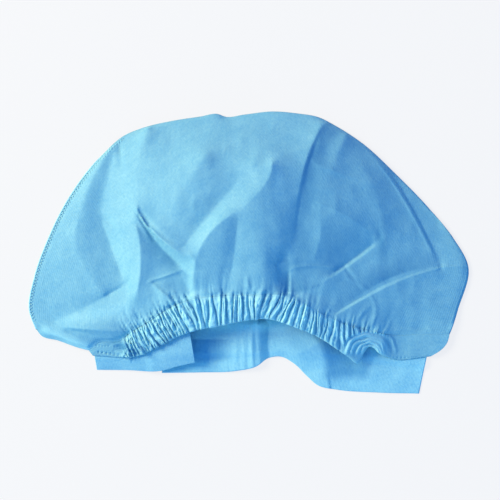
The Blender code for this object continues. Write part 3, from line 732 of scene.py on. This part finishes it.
def ring_heights(x, y):
    """How much of the casing's height the round creases about the arch make, and the heights of all rings."""
    middle = plane(*ARCH_MIDDLE)
    away = np.hypot((x - middle[0]) / ARCH_STRETCH, y - middle[1])
    weight = ease((ARCH_RADIUS - away) / (2.0 * MM))
    rings = np.zeros_like(x)
    for across, up, radius, reach, left, right in ARCH_RINGS:
        ring_x, ring_y = plane(across, up)
        turn = np.arctan2(y - ring_y, x - ring_x)
        away = np.hypot((x - ring_x) / ARCH_STRETCH, y - ring_y)
        away = away * (1 + 0.05 * np.sin(3 * turn + radius) + 0.03 * np.sin(7 * turn))
        side = ease(0.5 + (x - ring_x) / (9 * MM))
        rise = mix(left, right, side) * ease((y - ring_y) / (3 * MM) + 0.8)
        crest = np.clip(1 - np.abs(away - radius * MM) / (reach * MM), 0.0, 1.0)
        rings = np.maximum(rings, rise * MM * crest * (1.6 - 0.6 * crest))
    return weight, rings


def stitch_depth(x, y):
    """The dimples that the rows of stitches press into the cloth."""
    depth = np.zeros_like(x)
    for row in STITCH_ROWS:
        start = np.array(plane(*row[0:2]))
        run = np.array(plane(*row[2:4])) - start
        length = np.hypot(*run)
        along = ((x - start[0]) * run[0] + (y - start[1]) * run[1]) / length
        across = ((x - start[0]) * run[1] - (y - start[1]) * run[0]) / length
        beside = np.clip(np.maximum(-along, along - length), 0.0, None)
        dimple = 0.35 + 0.65 * np.clip(np.cos(2 * np.pi * along / (row[4] * MM)), 0.0, 1.0)
        depth += row[5] * MM * dimple * np.exp(-((across / (0.75 * MM)) ** 2) - (beside / (0.8 * MM)) ** 2)
    return depth


# The back panel


def hem_points(u):
    """Points of the back panel's lower edge at shares of it: free at the left, then along the casing."""
    free = np.vstack([rim[:1], plan_points(FREE_HEM), casing_dense[:1, :2]])
    free = smooth_curve(free)[0]
    free_points = at_shares(free, np.clip(u / HEM_BREAKS[1], 0.0, 1.0))
    sections = at_shares(casing_dense, np.clip(hem_place(u), 0.0, 1.0))
    high = 2 * LAYER + sections[..., 4] * HEM_LIFT
    start = ease(u / HEM_BREAKS[1])
    z = np.where(u < HEM_BREAKS[1], LAYER + start * LAYER, high)
    xy = np.where((u < HEM_BREAKS[1])[..., None], free_points, sections[..., :2])
    return np.concatenate([xy, z[..., None]], axis=-1)


def crown_plan(u, v):
    """The back panel's plan, and the height of a sheet hung between its edges."""
    lower = hem_points(u)
    x, y = rim_patch(u, v, lower, CASING_CORNER)
    end = hem_points(np.array([1.0]))[0, 2]
    across = mix(LAYER, LAYER + ease(1 - 3 * v) * (end - LAYER), u)
    along = mix(lower[..., 2], LAYER, v)
    return x, y, across + along - mix(LAYER, mix(end, LAYER, v), u)


def crown_gathers(u, v):
    """The pleats' upper ends and gathers that run from the casing into the crown, merging and fading on the
    way, and the painted shading there: painted light just above the casing, painted shade deep in the folds."""
    place = hem_place(u)
    phase, inner = gather_phase(place)
    away = v * 0.5 * CAP_DEPTH / MM
    pleats, gap = casing_height(place, -away * MM / CASING_FALL)
    ends = pleats / MM * np.exp(-away / 4.5)
    puff = CASING_PUFF / MM * PUFF_AT_TOP * np.exp(-away / 3.5)
    paired = ridges(phase / 2 + 0.5 * np.sin(phase * 0.7), 0.9) * np.exp(-away / 6.0)
    paired = paired * (0.6 + 0.6 * soft_noise(phase, phase * 0, 1.7, 5)) * ease(away / 4.0)
    broad = ridges(phase / 4.5 + 0.4 * np.sin(phase * 0.33), 1.1) * np.exp(-away / 12.0)
    broad = broad * (0.5 + 0.8 * soft_noise(phase, phase * 0, 3.1, 6)) * ease(away / 8.0)
    reach = 3.4 + 2.6 * soft_noise(phase * 0.7, phase * 0, 1.0, 25)
    painted_light = np.exp(-((away / reach) ** 2))
    # Painted light on the gathered cloth just above the casing, and painted shade deep in the folds
    tone = 0.5 * in_gather(inner) * painted_light - PAINTED_CREASE_SHADE * gap * np.exp(-away / 3.0)
    return MM * (ends + (puff + 0.9 * paired + 1.0 * broad) * in_gather(inner)), tone


def crease_line(row):
    """Points along a crease, with heights and softness. Both ends run out softly."""
    knots = np.array([(*plane(*row[k : k + 2]), row[k + 2] / 1000 * CROWN_RISE) for k in (0, 3, 6)])
    t = np.linspace(0.0, 1.0, 300)
    ends = 0.9 * (1 - np.clip(np.minimum(t, 1 - t) / 0.12, 0.0, 1.0))
    return np.column_stack([arc(knots, t), np.maximum(row[9], ends)])


def crown_edges():
    """Points along the back panel's edges, with their heights and no softness."""
    lower = hem_points(np.linspace(0.0, 1.0, 1500))
    seam = at_shares(rim, np.linspace(0.0, CASING_CORNER, 3000))
    t = np.linspace(0.0, 1.0, 60)[:, None]
    last = mix(np.append(seam[-1], RIM_LIFT), lower[-1], t)
    seam = np.column_stack([seam, np.full(len(seam), RIM_LIFT)])
    points = np.vstack([lower, seam, last])
    return np.column_stack([points, np.zeros(len(points))])


def resampled(field, rows, columns):
    """A raster's values at fractional rows and columns, with one value or several to each of its cells."""
    rows = np.clip(rows, 0, field.shape[0] - 1.001)
    columns = np.clip(columns, 0, field.shape[1] - 1.001)
    row = rows.astype(int)
    column = columns.astype(int)
    along = rows - row
    across = columns - column
    if field.ndim > 2:
        along = along[..., None]
        across = across[..., None]
    low, high = (mix(field[k, column], field[k, column + 1], across) for k in (row, row + 1))
    return mix(low, high, along)


def smoothed(field, passes, keep=0.5):
    """Each value drawn towards the mean of its four neighbours, again and again."""
    for _ in range(passes):
        mean = (field[:-2, 1:-1] + field[2:, 1:-1] + field[1:-1, :-2] + field[1:-1, 2:]) / 4
        field = field.copy()
        field[1:-1, 1:-1] = mix(mean, field[1:-1, 1:-1], keep)
    return field


def raster_place(x, y):
    """The relief's fractional row and column at the points x, y."""
    cell = CAP_WIDTH / RELIEF_CELLS
    return (y + CAP_DEPTH / 2) / cell + RELIEF_MARGIN, (x + CAP_WIDTH / 2) / cell + RELIEF_MARGIN


def stretched_between(lines):
    """A raster of the heights of cloth stretched between the lines over the mounds, from coarse to fine."""
    cell = CAP_WIDTH / RELIEF_CELLS
    row, column = raster_place(lines[:, 0], lines[:, 1])
    above = lines[:, 2] - mound_heights(lines[:, 0], lines[:, 1])
    field = np.zeros((60, 60, 2))
    for step in (16, 8, 4, 2, 1):
        width = (RELIEF_CELLS + 2 * RELIEF_MARGIN) // step + 2
        depth = int(RELIEF_CELLS * CAP_DEPTH / CAP_WIDTH + 2 * RELIEF_MARGIN) // step + 2
        across = np.clip(np.rint(column / step).astype(int), 0, width - 1)
        along = np.clip(np.rint(row / step).astype(int), 0, depth - 1)
        total = np.zeros((depth, width, 3))
        np.add.at(total, (along, across), np.column_stack([above, lines[:, 3], np.ones(len(lines))]))
        known = total[..., 2] > 0
        value = total[known][:, :2] / total[known][:, 2:]
        grid_row, grid_column = np.mgrid[0:depth, 0:width]
        field = resampled(field, grid_row / 2.0, grid_column / 2.0)
        field[known] = value
        for _ in range(COARSE_PASSES if step > 1 else LAST_PASSES):
            field = smoothed(field, 1, 0.0)
            field[known] = value
    x = (grid_column - RELIEF_MARGIN) * cell - CAP_WIDTH / 2
    y = (grid_row - RELIEF_MARGIN) * cell - CAP_DEPTH / 2
    heights = field[..., 0] + mound_heights(x, y)
    softness = np.clip(smoothed(field[..., 1], SOFTNESS_PASSES), 0.0, 1.0)
    return mix(smoothed(heights, SHARP_PASSES), smoothed(heights, SOFT_PASSES), softness)


relief = stretched_between(np.vstack([crown_edges()] + [crease_line(row) for row in CREASES]))


def within_edges(u, v, sides, foot, top):
    """0 at a sheet's edges and 1 inside it, with smooth rises over the given shares."""
    return ease(u / sides) * ease((1 - u) / sides) * ease((1 - v) / top) * ease(v / foot)


def crown_surface(u, v):
    """The back panel, stretched between its creases, with wrinkles and gathers."""
    x, y, edge = crown_plan(u, v)
    tent = resampled(relief, *raster_place(x, y))
    z = edge + within_edges(u, v, sides=0.012, foot=0.02, top=0.02) * (tent - edge)
    small = fold_heights(x, y, WRINKLES, FOLD_RISE)
    small = small + 0.35 * MM * soft_noise(x, y, 17 * MM, 21) + 0.14 * MM * soft_noise(x, y, 6 * MM, 22)
    small = small - 0.35 * MM * np.abs(soft_noise(x, y, 11 * MM, 23)) * (1 + soft_noise(x, y, 40 * MM, 24))
    gathers, tone = crown_gathers(u, v)
    # Painted shade and painted light from the gathers and from the crown's table
    tone = np.maximum(tone - painted_shades(x, y, CROWN_PAINTED_SHADES), -1.0)
    z = z + within_edges(u, v, sides=0.05, foot=0.05, top=0.06) * small + gathers
    return x, y, np.maximum(z, LAYER), tone


def near_hem_or_crease(u, v):
    """Whether a place on the crown lies close to the casing or to a sharp crease."""
    x, y, _ = crown_plan(u, v)
    sharp = [crease_line(row)[30:-30:5, :2] for row in CREASES if row[9] < SHARP_CREASE]
    away = np.full(len(x), np.inf)
    for point in np.vstack(sharp):
        away = np.minimum(away, (x - point[0]) ** 2 + (y - point[1]) ** 2)
    return (v < HEM_BELT) | (away < CREASE_BELT**2)


# The other sheets


def casing_surface(u, v):
    """Across the casing v runs from the lip turned under the lower edge up to the upper edge."""
    w = np.clip((1 - v) / (1 - TURNED_UNDER), 0.0, None)
    sections = at_shares(casing_dense, u)
    fraction = np.where(w <= 1, w, 1 - (w - 1) * 0.8)
    x = mix(sections[..., 0], sections[..., 2], fraction)
    y = mix(sections[..., 1], sections[..., 3], fraction)
    z = 2 * LAYER + HEM_LIFT * mix(sections[..., 4], sections[..., 5], fraction)
    gathered = in_gather(gather_phase(u)[1])
    within = np.clip(w, 0.0, 1.0)
    puff = np.sin(np.pi * (0.12 + 0.88 * within)) ** 0.6 * CASING_PUFF * (PUFF_AT_ENDS + 0.85 * gathered)
    puff = puff - PUFF_AT_ENDS * PUFF_AT_TOP * CASING_PUFF * (1 - gathered)
    weight, rings = ring_heights(x, y)
    below_top = ease(within / 0.12)
    weight = weight * below_top
    pleats, gap = casing_height(u, within)
    over = pleats * (1 - weight) + rings * np.maximum(weight, below_top * (x < 0))
    over = over - stitch_depth(x, y)
    gap = gap * (1 - weight) + weight * 0.35 * ease(1 - rings / (0.6 * MM)) * gathered
    over = over + fold_heights(x, y, CASING_FOLDS, FOLD_RISE) * below_top
    over = over * np.where(w < 1, np.clip((1.04 - w) / 0.12, 0.0, 1.0), 0.0)
    lip = np.where(w > 0.9, ease((w - 0.9) / 0.18), 0.0) * CASING_LIP
    z = z + np.where(w <= 1, puff + over, 0.0) - lip * 0.8
    y = y - 0.45 * np.maximum(over, 0.0) * within**3
    end = ease((u - 0.965) / 0.035) * np.sin(np.pi * within)
    # Painted light on the gathered casing, painted shade deep in its folds and between the arch's rings, and
    # the table's painted shade
    tone = gathered - PAINTED_CREASE_SHADE * gap - painted_shades(x, y, CASING_PAINTED_SHADES)
    return x + END_BULGE * end, y - 0.3 * END_BULGE * end, z, tone


def lying_height(x, y):
    """How high a layer lies that passes over the front panel and then down to the surface."""
    line = np.interp(x, front_edge[:, 0], front_edge[:, 1])
    return LAYER * ease((y - line + 2 * LAP_RAMP) / LAP_RAMP)


def painted_band_shading(x, y):
    """The summed painted shade and painted light of the band's soft-edged patches."""
    tone = np.zeros_like(x)
    for row in BAND_PAINTED_SHADING:
        left, foot = plane(row[0], row[2])
        right, top = plane(row[1], row[3])
        patch = 1.0
        for inside, softness in zip((x - left, right - x, y - foot, top - y), row[4:8]):
            patch = patch * ease(inside / (softness * MM) + 0.5)
        tone += row[8] * patch
    return np.clip(tone, -1.0, 1.0)


def band_surface(u, v):
    """The front band with its waves, which reaches under the casing."""
    edge = smooth_curve(plan_points(BAND_EDGE))[0]
    tuck = mix(casing_dense[:, 0:2], casing_dense[:, 2:4], BAND_TUCK)
    lower_x = edge[0, 0] + u * (edge[-1, 0] - edge[0, 0])
    lower_y = np.interp(lower_x, edge[:, 0], edge[:, 1])
    upper_x = edge[0, 0] + u * (plane(BAND_TOP_RIGHT, 0)[0] - edge[0, 0])
    upper_y = np.interp(upper_x, tuck[:, 0], tuck[:, 1])
    x = mix(lower_x, upper_x, v)
    y = mix(lower_y, upper_y, v)
    z = lying_height(x, y) + np.maximum(fold_heights(x, y, BAND_WAVES, BAND_RISE), 0.0)
    # The last value is the band's painted shade and painted light
    return x, y, z + CLOTH + 0.2 * MM * (1 + soft_noise(x, y, 9 * MM, 31)), painted_band_shading(x, y)


def overlap_surface(u, v):
    """The end of the band that lies folded back, darker at its notch, with painted shade towards its lower
    edge.
    """
    sections = at_shares(smooth_curve(section_points(OVERLAP_SECTIONS))[0], u)
    x = mix(sections[..., 0], sections[..., 2], v)
    y = mix(sections[..., 1], sections[..., 3], v)
    band_left = plane(BAND_EDGE[0][0], 0)[0]
    over_band = LAYER * ease((x - band_left + 2 * LAP_RAMP) / LAP_RAMP)
    under = 2 * LAYER + HEM_LIFT * np.interp(x, casing_dense[:, 2], casing_dense[:, 5]) - OVERLAP_DROP
    lying = lying_height(x, y) + over_band + CLOTH + 0.1 * MM
    z = lying + np.maximum(under - lying, 0.0) * (0.40 + 0.60 * v) * ease((x - x.min()) / LAP_RAMP)
    tip_x, tip_y = plane(*OVERLAP_TIP)
    half = 2.0 * MM * (y - tip_y) / OVERLAP_NOTCH
    notch = ease((half - np.abs(x - tip_x)) / (0.6 * MM) + 0.5)
    notch = notch * ease((y - tip_y) / MM) * ease((tip_y + OVERLAP_NOTCH - y) / MM)
    # The last value darkens the notch and paints shade towards the lower edge
    return x, y, z, -np.maximum(notch, 0.05 + 0.5 * (1 - v))


def panel_surface(u, v):
    """The front panel, which lies flat."""
    x, y = rim_patch(u, v, at_shares(front_edge, u), 1.0)
    return x, y, CLOTH + 0.25 * MM * (1 + soft_noise(x, y, 14 * MM, 41))


def seam_surface(u, v):
    """A rolled bead round the outline, thinner past the stretch that shows its thread."""
    path = moved_inward(outline, SEAM_WIDTH / 2)
    points = at_shares(path, u)
    ahead = heading(path, u)
    angle = 2 * np.pi * v
    full = 0.3 + 0.7 * ease((THREAD_TO - u) / 0.06)
    out = np.cos(angle) * SEAM_WIDTH / 2 * full - SEAM_WIDTH / 2 * (1 - full)
    up = (1 + np.sin(angle)) * 0.6 * MM * full + 0.2 * MM
    return points[..., 0] - ahead[..., 1] * out, points[..., 1] + ahead[..., 0] * out, up + 0.1 * MM


def thread_surface(u, v):
    """The overlocking thread that goes to and fro over the edge of the left side."""
    path = moved_inward(outline, THREAD_INSET)
    length = lengths_along(path)[-1]
    run = THREAD_FROM + u * (THREAD_TO - THREAD_FROM)
    stroke = run * length / THREAD_PITCH
    stroke = ease(np.abs(2 * (stroke - np.floor(stroke)) - 1))
    points = at_shares(path, run)
    ahead = heading(path, run)
    x = points[..., 0] + ahead[..., 1] * THREAD_REACH * stroke
    y = points[..., 1] - ahead[..., 0] * THREAD_REACH * stroke
    tent = resampled(relief, *raster_place(x, y))
    angle = 2 * np.pi * v
    x = x + ahead[..., 0] * THREAD / 2 * np.cos(angle)
    y = y + ahead[..., 1] * THREAD / 2 * np.cos(angle)
    return x, y, np.maximum(tent, RIM_LIFT) + THREAD / 2 * (np.sin(angle) - 0.2)


# Making the pieces


def only(piece):
    bpy.ops.object.select_all(action="DESELECT")
    piece.select_set(True)
    bpy.context.view_layer.objects.active = piece


def refine(piece, chosen):
    """Subdivides the faces whose middle the function chooses."""
    mesh = piece.data
    centres = np.array([face.center[:2] for face in mesh.polygons]) + 0.5
    for elements in (mesh.vertices, mesh.edges):
        elements.foreach_set("select", np.zeros(len(elements), bool))
    mesh.polygons.foreach_set("select", chosen(centres[:, 0], centres[:, 1]))
    only(piece)
    bpy.ops.object.mode_set(mode="EDIT")
    bpy.ops.mesh.select_mode(type="FACE")
    bpy.ops.mesh.subdivide(number_cuts=1)
    bpy.ops.object.mode_set(mode="OBJECT")


def sheet(name, cells, surface, size, thickness=CLOTH, finer=None):
    """A grid placed by its surface function, with its cloth measures as UV, thickened downwards."""
    bpy.ops.object.select_all(action="DESELECT")
    bpy.ops.mesh.primitive_grid_add(x_subdivisions=cells[0], y_subdivisions=cells[1], size=1.0)
    piece = bpy.context.object
    piece.name = piece.data.name = name
    if finer:
        refine(piece, finer)
    mesh = piece.data
    flat = np.empty(len(mesh.vertices) * 3)
    mesh.vertices.foreach_get("co", flat)
    flat = flat.reshape(-1, 3)
    u = np.clip(flat[:, 0] + 0.5, 0.0, 1.0)
    v = np.clip(flat[:, 1] + 0.5, 0.0, 1.0)
    placed = surface(u, v)
    mesh.vertices.foreach_set("co", np.column_stack(placed[:3]).ravel())
    # The painted shade and painted light that the surface function gives, which the cloth's colour is
    # multiplied by
    tone = mesh.attributes.new("painted_shading", "FLOAT", "POINT")
    tone.data.foreach_set("value", placed[3] if len(placed) > 3 else np.zeros(len(u)))
    corners = np.empty(len(mesh.loops), int)
    mesh.loops.foreach_get("vertex_index", corners)
    cloth_uv = np.column_stack([u[corners] * size[0], v[corners] * size[1]])
    mesh.uv_layers[0].data.foreach_set("uv", cloth_uv.ravel())
    mesh.update()
    only(piece)
    bpy.ops.object.shade_smooth()
    wall = piece.modifiers.new("wall", "SOLIDIFY")
    wall.thickness = thickness
    wall.offset = -1.0
    bpy.ops.object.modifier_apply(modifier=wall.name)
    return piece


def dress(piece, node, slot, cloths):
    """Gives a piece the cloth of its slot and its body, and hides the part of its node."""
    piece.data.materials.append(cloths[slot])
    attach(piece, "root")
    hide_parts(node)


# Materials


class Value:
    """A shader socket that takes part in sums with numbers and other sockets."""

    def __init__(self, shader, socket):
        self.shader = shader
        self.socket = socket

    def math(self, operation, *others):
        return self.shader.node("Math", (self, *others), operation=operation)

    def __add__(self, other):
        return self.math("ADD", other)

    def __mul__(self, other):
        return self.math("MULTIPLY", other)


class Shader:
    """One material's nodes, made by short calls."""

    def __init__(self, name):
        self.material = bpy.data.materials.new(name)
        self.material.use_nodes = True
        self.tree = self.material.node_tree
        self.tree.nodes.clear()

    def node(self, kind, inputs=(), output=0, **settings):
        """Adds a node. Its inputs are values or links, in order or by name."""
        made = self.tree.nodes.new("ShaderNode" + kind)
        for key, value in settings.items():
            setattr(made, key, value)
        pairs = inputs.items() if isinstance(inputs, dict) else enumerate(inputs)
        for key, value in pairs:
            if isinstance(value, Value):
                self.tree.links.new(value.socket, made.inputs[key])
            else:
                made.inputs[key].default_value = value
        return Value(self, made.outputs[output]) if made.outputs else None

    def mapped(self, vector, **changes):
        return self.node("Mapping", {"Vector": vector, **changes})

    def noise(self, vector, scale, roughness=0.5):
        inputs = {"Vector": vector, "Scale": scale, "Detail": 3.0, "Roughness": roughness}
        return self.node("TexNoise", inputs)

    def blend(self, kind, factor, first, second):
        inputs = {0: factor, 6: first, 7: second}
        return self.node("Mix", inputs, output=2, data_type="RGBA", blend_type=kind)

    def finish(self, surface):
        self.node("OutputMaterial", {"Surface": surface})
        return self.material


def cloth_material(name, colour):
    """Spunbond cloth: cloudy fibres, fine strands and a diagonal grid of pressed dots."""
    shader = Shader(name)
    uv = shader.node("TexCoord", output=2)
    turned = shader.mapped(uv, Rotation=(0.0, 0.0, math.radians(45)))
    clouds = shader.noise(uv, CLOUD_SCALE)
    mottle = shader.noise(uv, MOTTLE_SCALE, 0.7)
    fibre_a = shader.noise(shader.mapped(uv, Scale=(1.0, 0.12, 1.0)), FIBRE_SCALE)
    fibre_b = shader.noise(shader.mapped(turned, Scale=(0.15, 1.0, 1.0)), FIBRE_SCALE)
    wave = 2 * math.pi / DOT_PITCH
    across, along = (
        (shader.node("SeparateXYZ", {"Vector": turned}, output) * wave).math("SINE") for output in (0, 1)
    )
    dots = (across * along).math("SMOOTH_MIN", 0.5, 0.3)
    fibres = fibre_a * 0.5 + fibre_b * 0.5
    tone = clouds * 0.35 + mottle * 0.45 + fibres * 0.55 + dots * 0.05
    dark = tuple(c * k for c, k in zip(colour, THIN_SPOT)) + (1.0,)
    light = tuple(min(c * k, 1.0) for c, k in zip(colour, THICK_SPOT)) + (1.0,)
    base = shader.blend("MIX", tone.math("MULTIPLY_ADD", 2.2, -1.0), dark, light)
    # The painted shade and painted light from the mesh, multiplied into the cloth's colour
    fold = shader.node("Attribute", output=2, attribute_name="painted_shading")
    base = shader.blend("MULTIPLY", fold, base, PAINTED_LIGHT_TINT)
    base = shader.blend("MULTIPLY", fold * -1.0, base, PAINTED_SHADE_TINT)
    relief = fibres * 0.5 + mottle * 0.5 + dots * 0.15
    bump = shader.node("Bump", {"Strength": 1.0, "Distance": BUMP_DEPTH, "Height": relief})
    face = shader.node(
        "BsdfPrincipled",
        {
            "Base Color": base,
            "Roughness": CLOTH_ROUGHNESS,
            "Specular IOR Level": CLOTH_SHINE,
            "Normal": bump,
        },
    )
    through = shader.node("BsdfTranslucent", {"Color": base, "Normal": bump})
    return shader.finish(shader.node("MixShader", (SEEN_THROUGH, face, through)))


def table_material():
    shader = Shader("pale_table")
    face = shader.node(
        "BsdfPrincipled",
        {
            "Base Color": TABLE_GREY,
            "Roughness": TABLE_ROUGHNESS,
            "Emission Color": TABLE_GLOW,
            "Emission Strength": TABLE_STRENGTH,
        },
    )
    return shader.finish(face)


# Camera, light and floor


def add_camera():
    data = bpy.data.cameras.new("camera")
    data.sensor_width = SENSOR_WIDTH
    data.lens = data.sensor_width * (CAMERA_PLACE[2] - FITTED_HEIGHT) / (PICTURE_SHARE * CAP_WIDTH)
    camera = bpy.data.objects.new("camera", data)
    bpy.context.scene.collection.objects.link(camera)
    camera.location = CAMERA_PLACE
    bpy.context.scene.camera = camera


def add_lights():
    for name, width, height, watts, colour, turn, rise in LAMPS:
        data = bpy.data.lights.new(name, "AREA")
        data.shape = "RECTANGLE"
        data.size = width
        data.size_y = height
        data.energy = watts
        data.color = colour
        lamp = bpy.data.objects.new(name, data)
        bpy.context.scene.collection.objects.link(lamp)
        turn = math.radians(turn)
        rise = math.radians(rise)
        level = math.cos(rise)
        place = np.array([level * math.cos(turn), level * math.sin(turn), math.sin(rise)])
        lamp.location = LAMP_DISTANCE * place
        lamp.rotation_euler = (math.pi / 2 - rise, 0.0, turn + math.pi / 2)
    world = bpy.data.worlds.new("room")
    world.use_nodes = True
    sky = world.node_tree.nodes["Background"]
    sky.inputs["Color"].default_value = SKY_BLUE
    sky.inputs["Strength"].default_value = SKY_STRENGTH
    bpy.context.scene.world = world
    bpy.context.scene.view_settings.view_transform = "Standard"


def add_floor():
    bpy.ops.object.select_all(action="DESELECT")
    bpy.ops.mesh.primitive_plane_add(size=TABLE_SIZE, location=(0.0, 0.0, 0.0))
    floor = bpy.context.object
    floor.name = "table"
    floor.data.materials.append(table_material())


def main():
    add_camera()
    add_lights()
    add_floor()
    cloths = {slot: cloth_material(slot, colour) for slot, colour in CLOTHS}
    crown = sheet("crown_cloth", CROWN_CELLS, crown_surface, (0.30, 0.17), finer=near_hem_or_crease)
    dress(crown, "back_panel", "back_cloth", cloths)
    casing = sheet("casing_cloth", CASING_CELLS, casing_surface, (0.30, 0.03))
    dress(casing, "elastic_casing", "casing_cloth", cloths)
    band = sheet("band_cloth", BAND_CELLS, band_surface, (0.20, 0.05))
    dress(band, "front_band", "band_cloth", cloths)
    overlap = sheet("overlap_cloth", OVERLAP_CELLS, overlap_surface, (0.07, 0.03))
    dress(overlap, "band_overlap", "band_cloth", cloths)
    panel = sheet("panel_cloth", PANEL_CELLS, panel_surface, (0.31, 0.17))
    dress(panel, "front_panel", "front_cloth", cloths)
    seam = sheet("seam_thread", SEAM_CELLS, seam_surface, (0.6, 0.006), thickness=0.1 * MM)
    thread = sheet("overlock_thread", THREAD_CELLS, thread_surface, (0.6, 0.006), thickness=0.1 * MM)
    only(seam)
    thread.select_set(True)
    bpy.ops.object.join()
    dress(seam, "edge_seam", "seam_thread", cloths)


main()
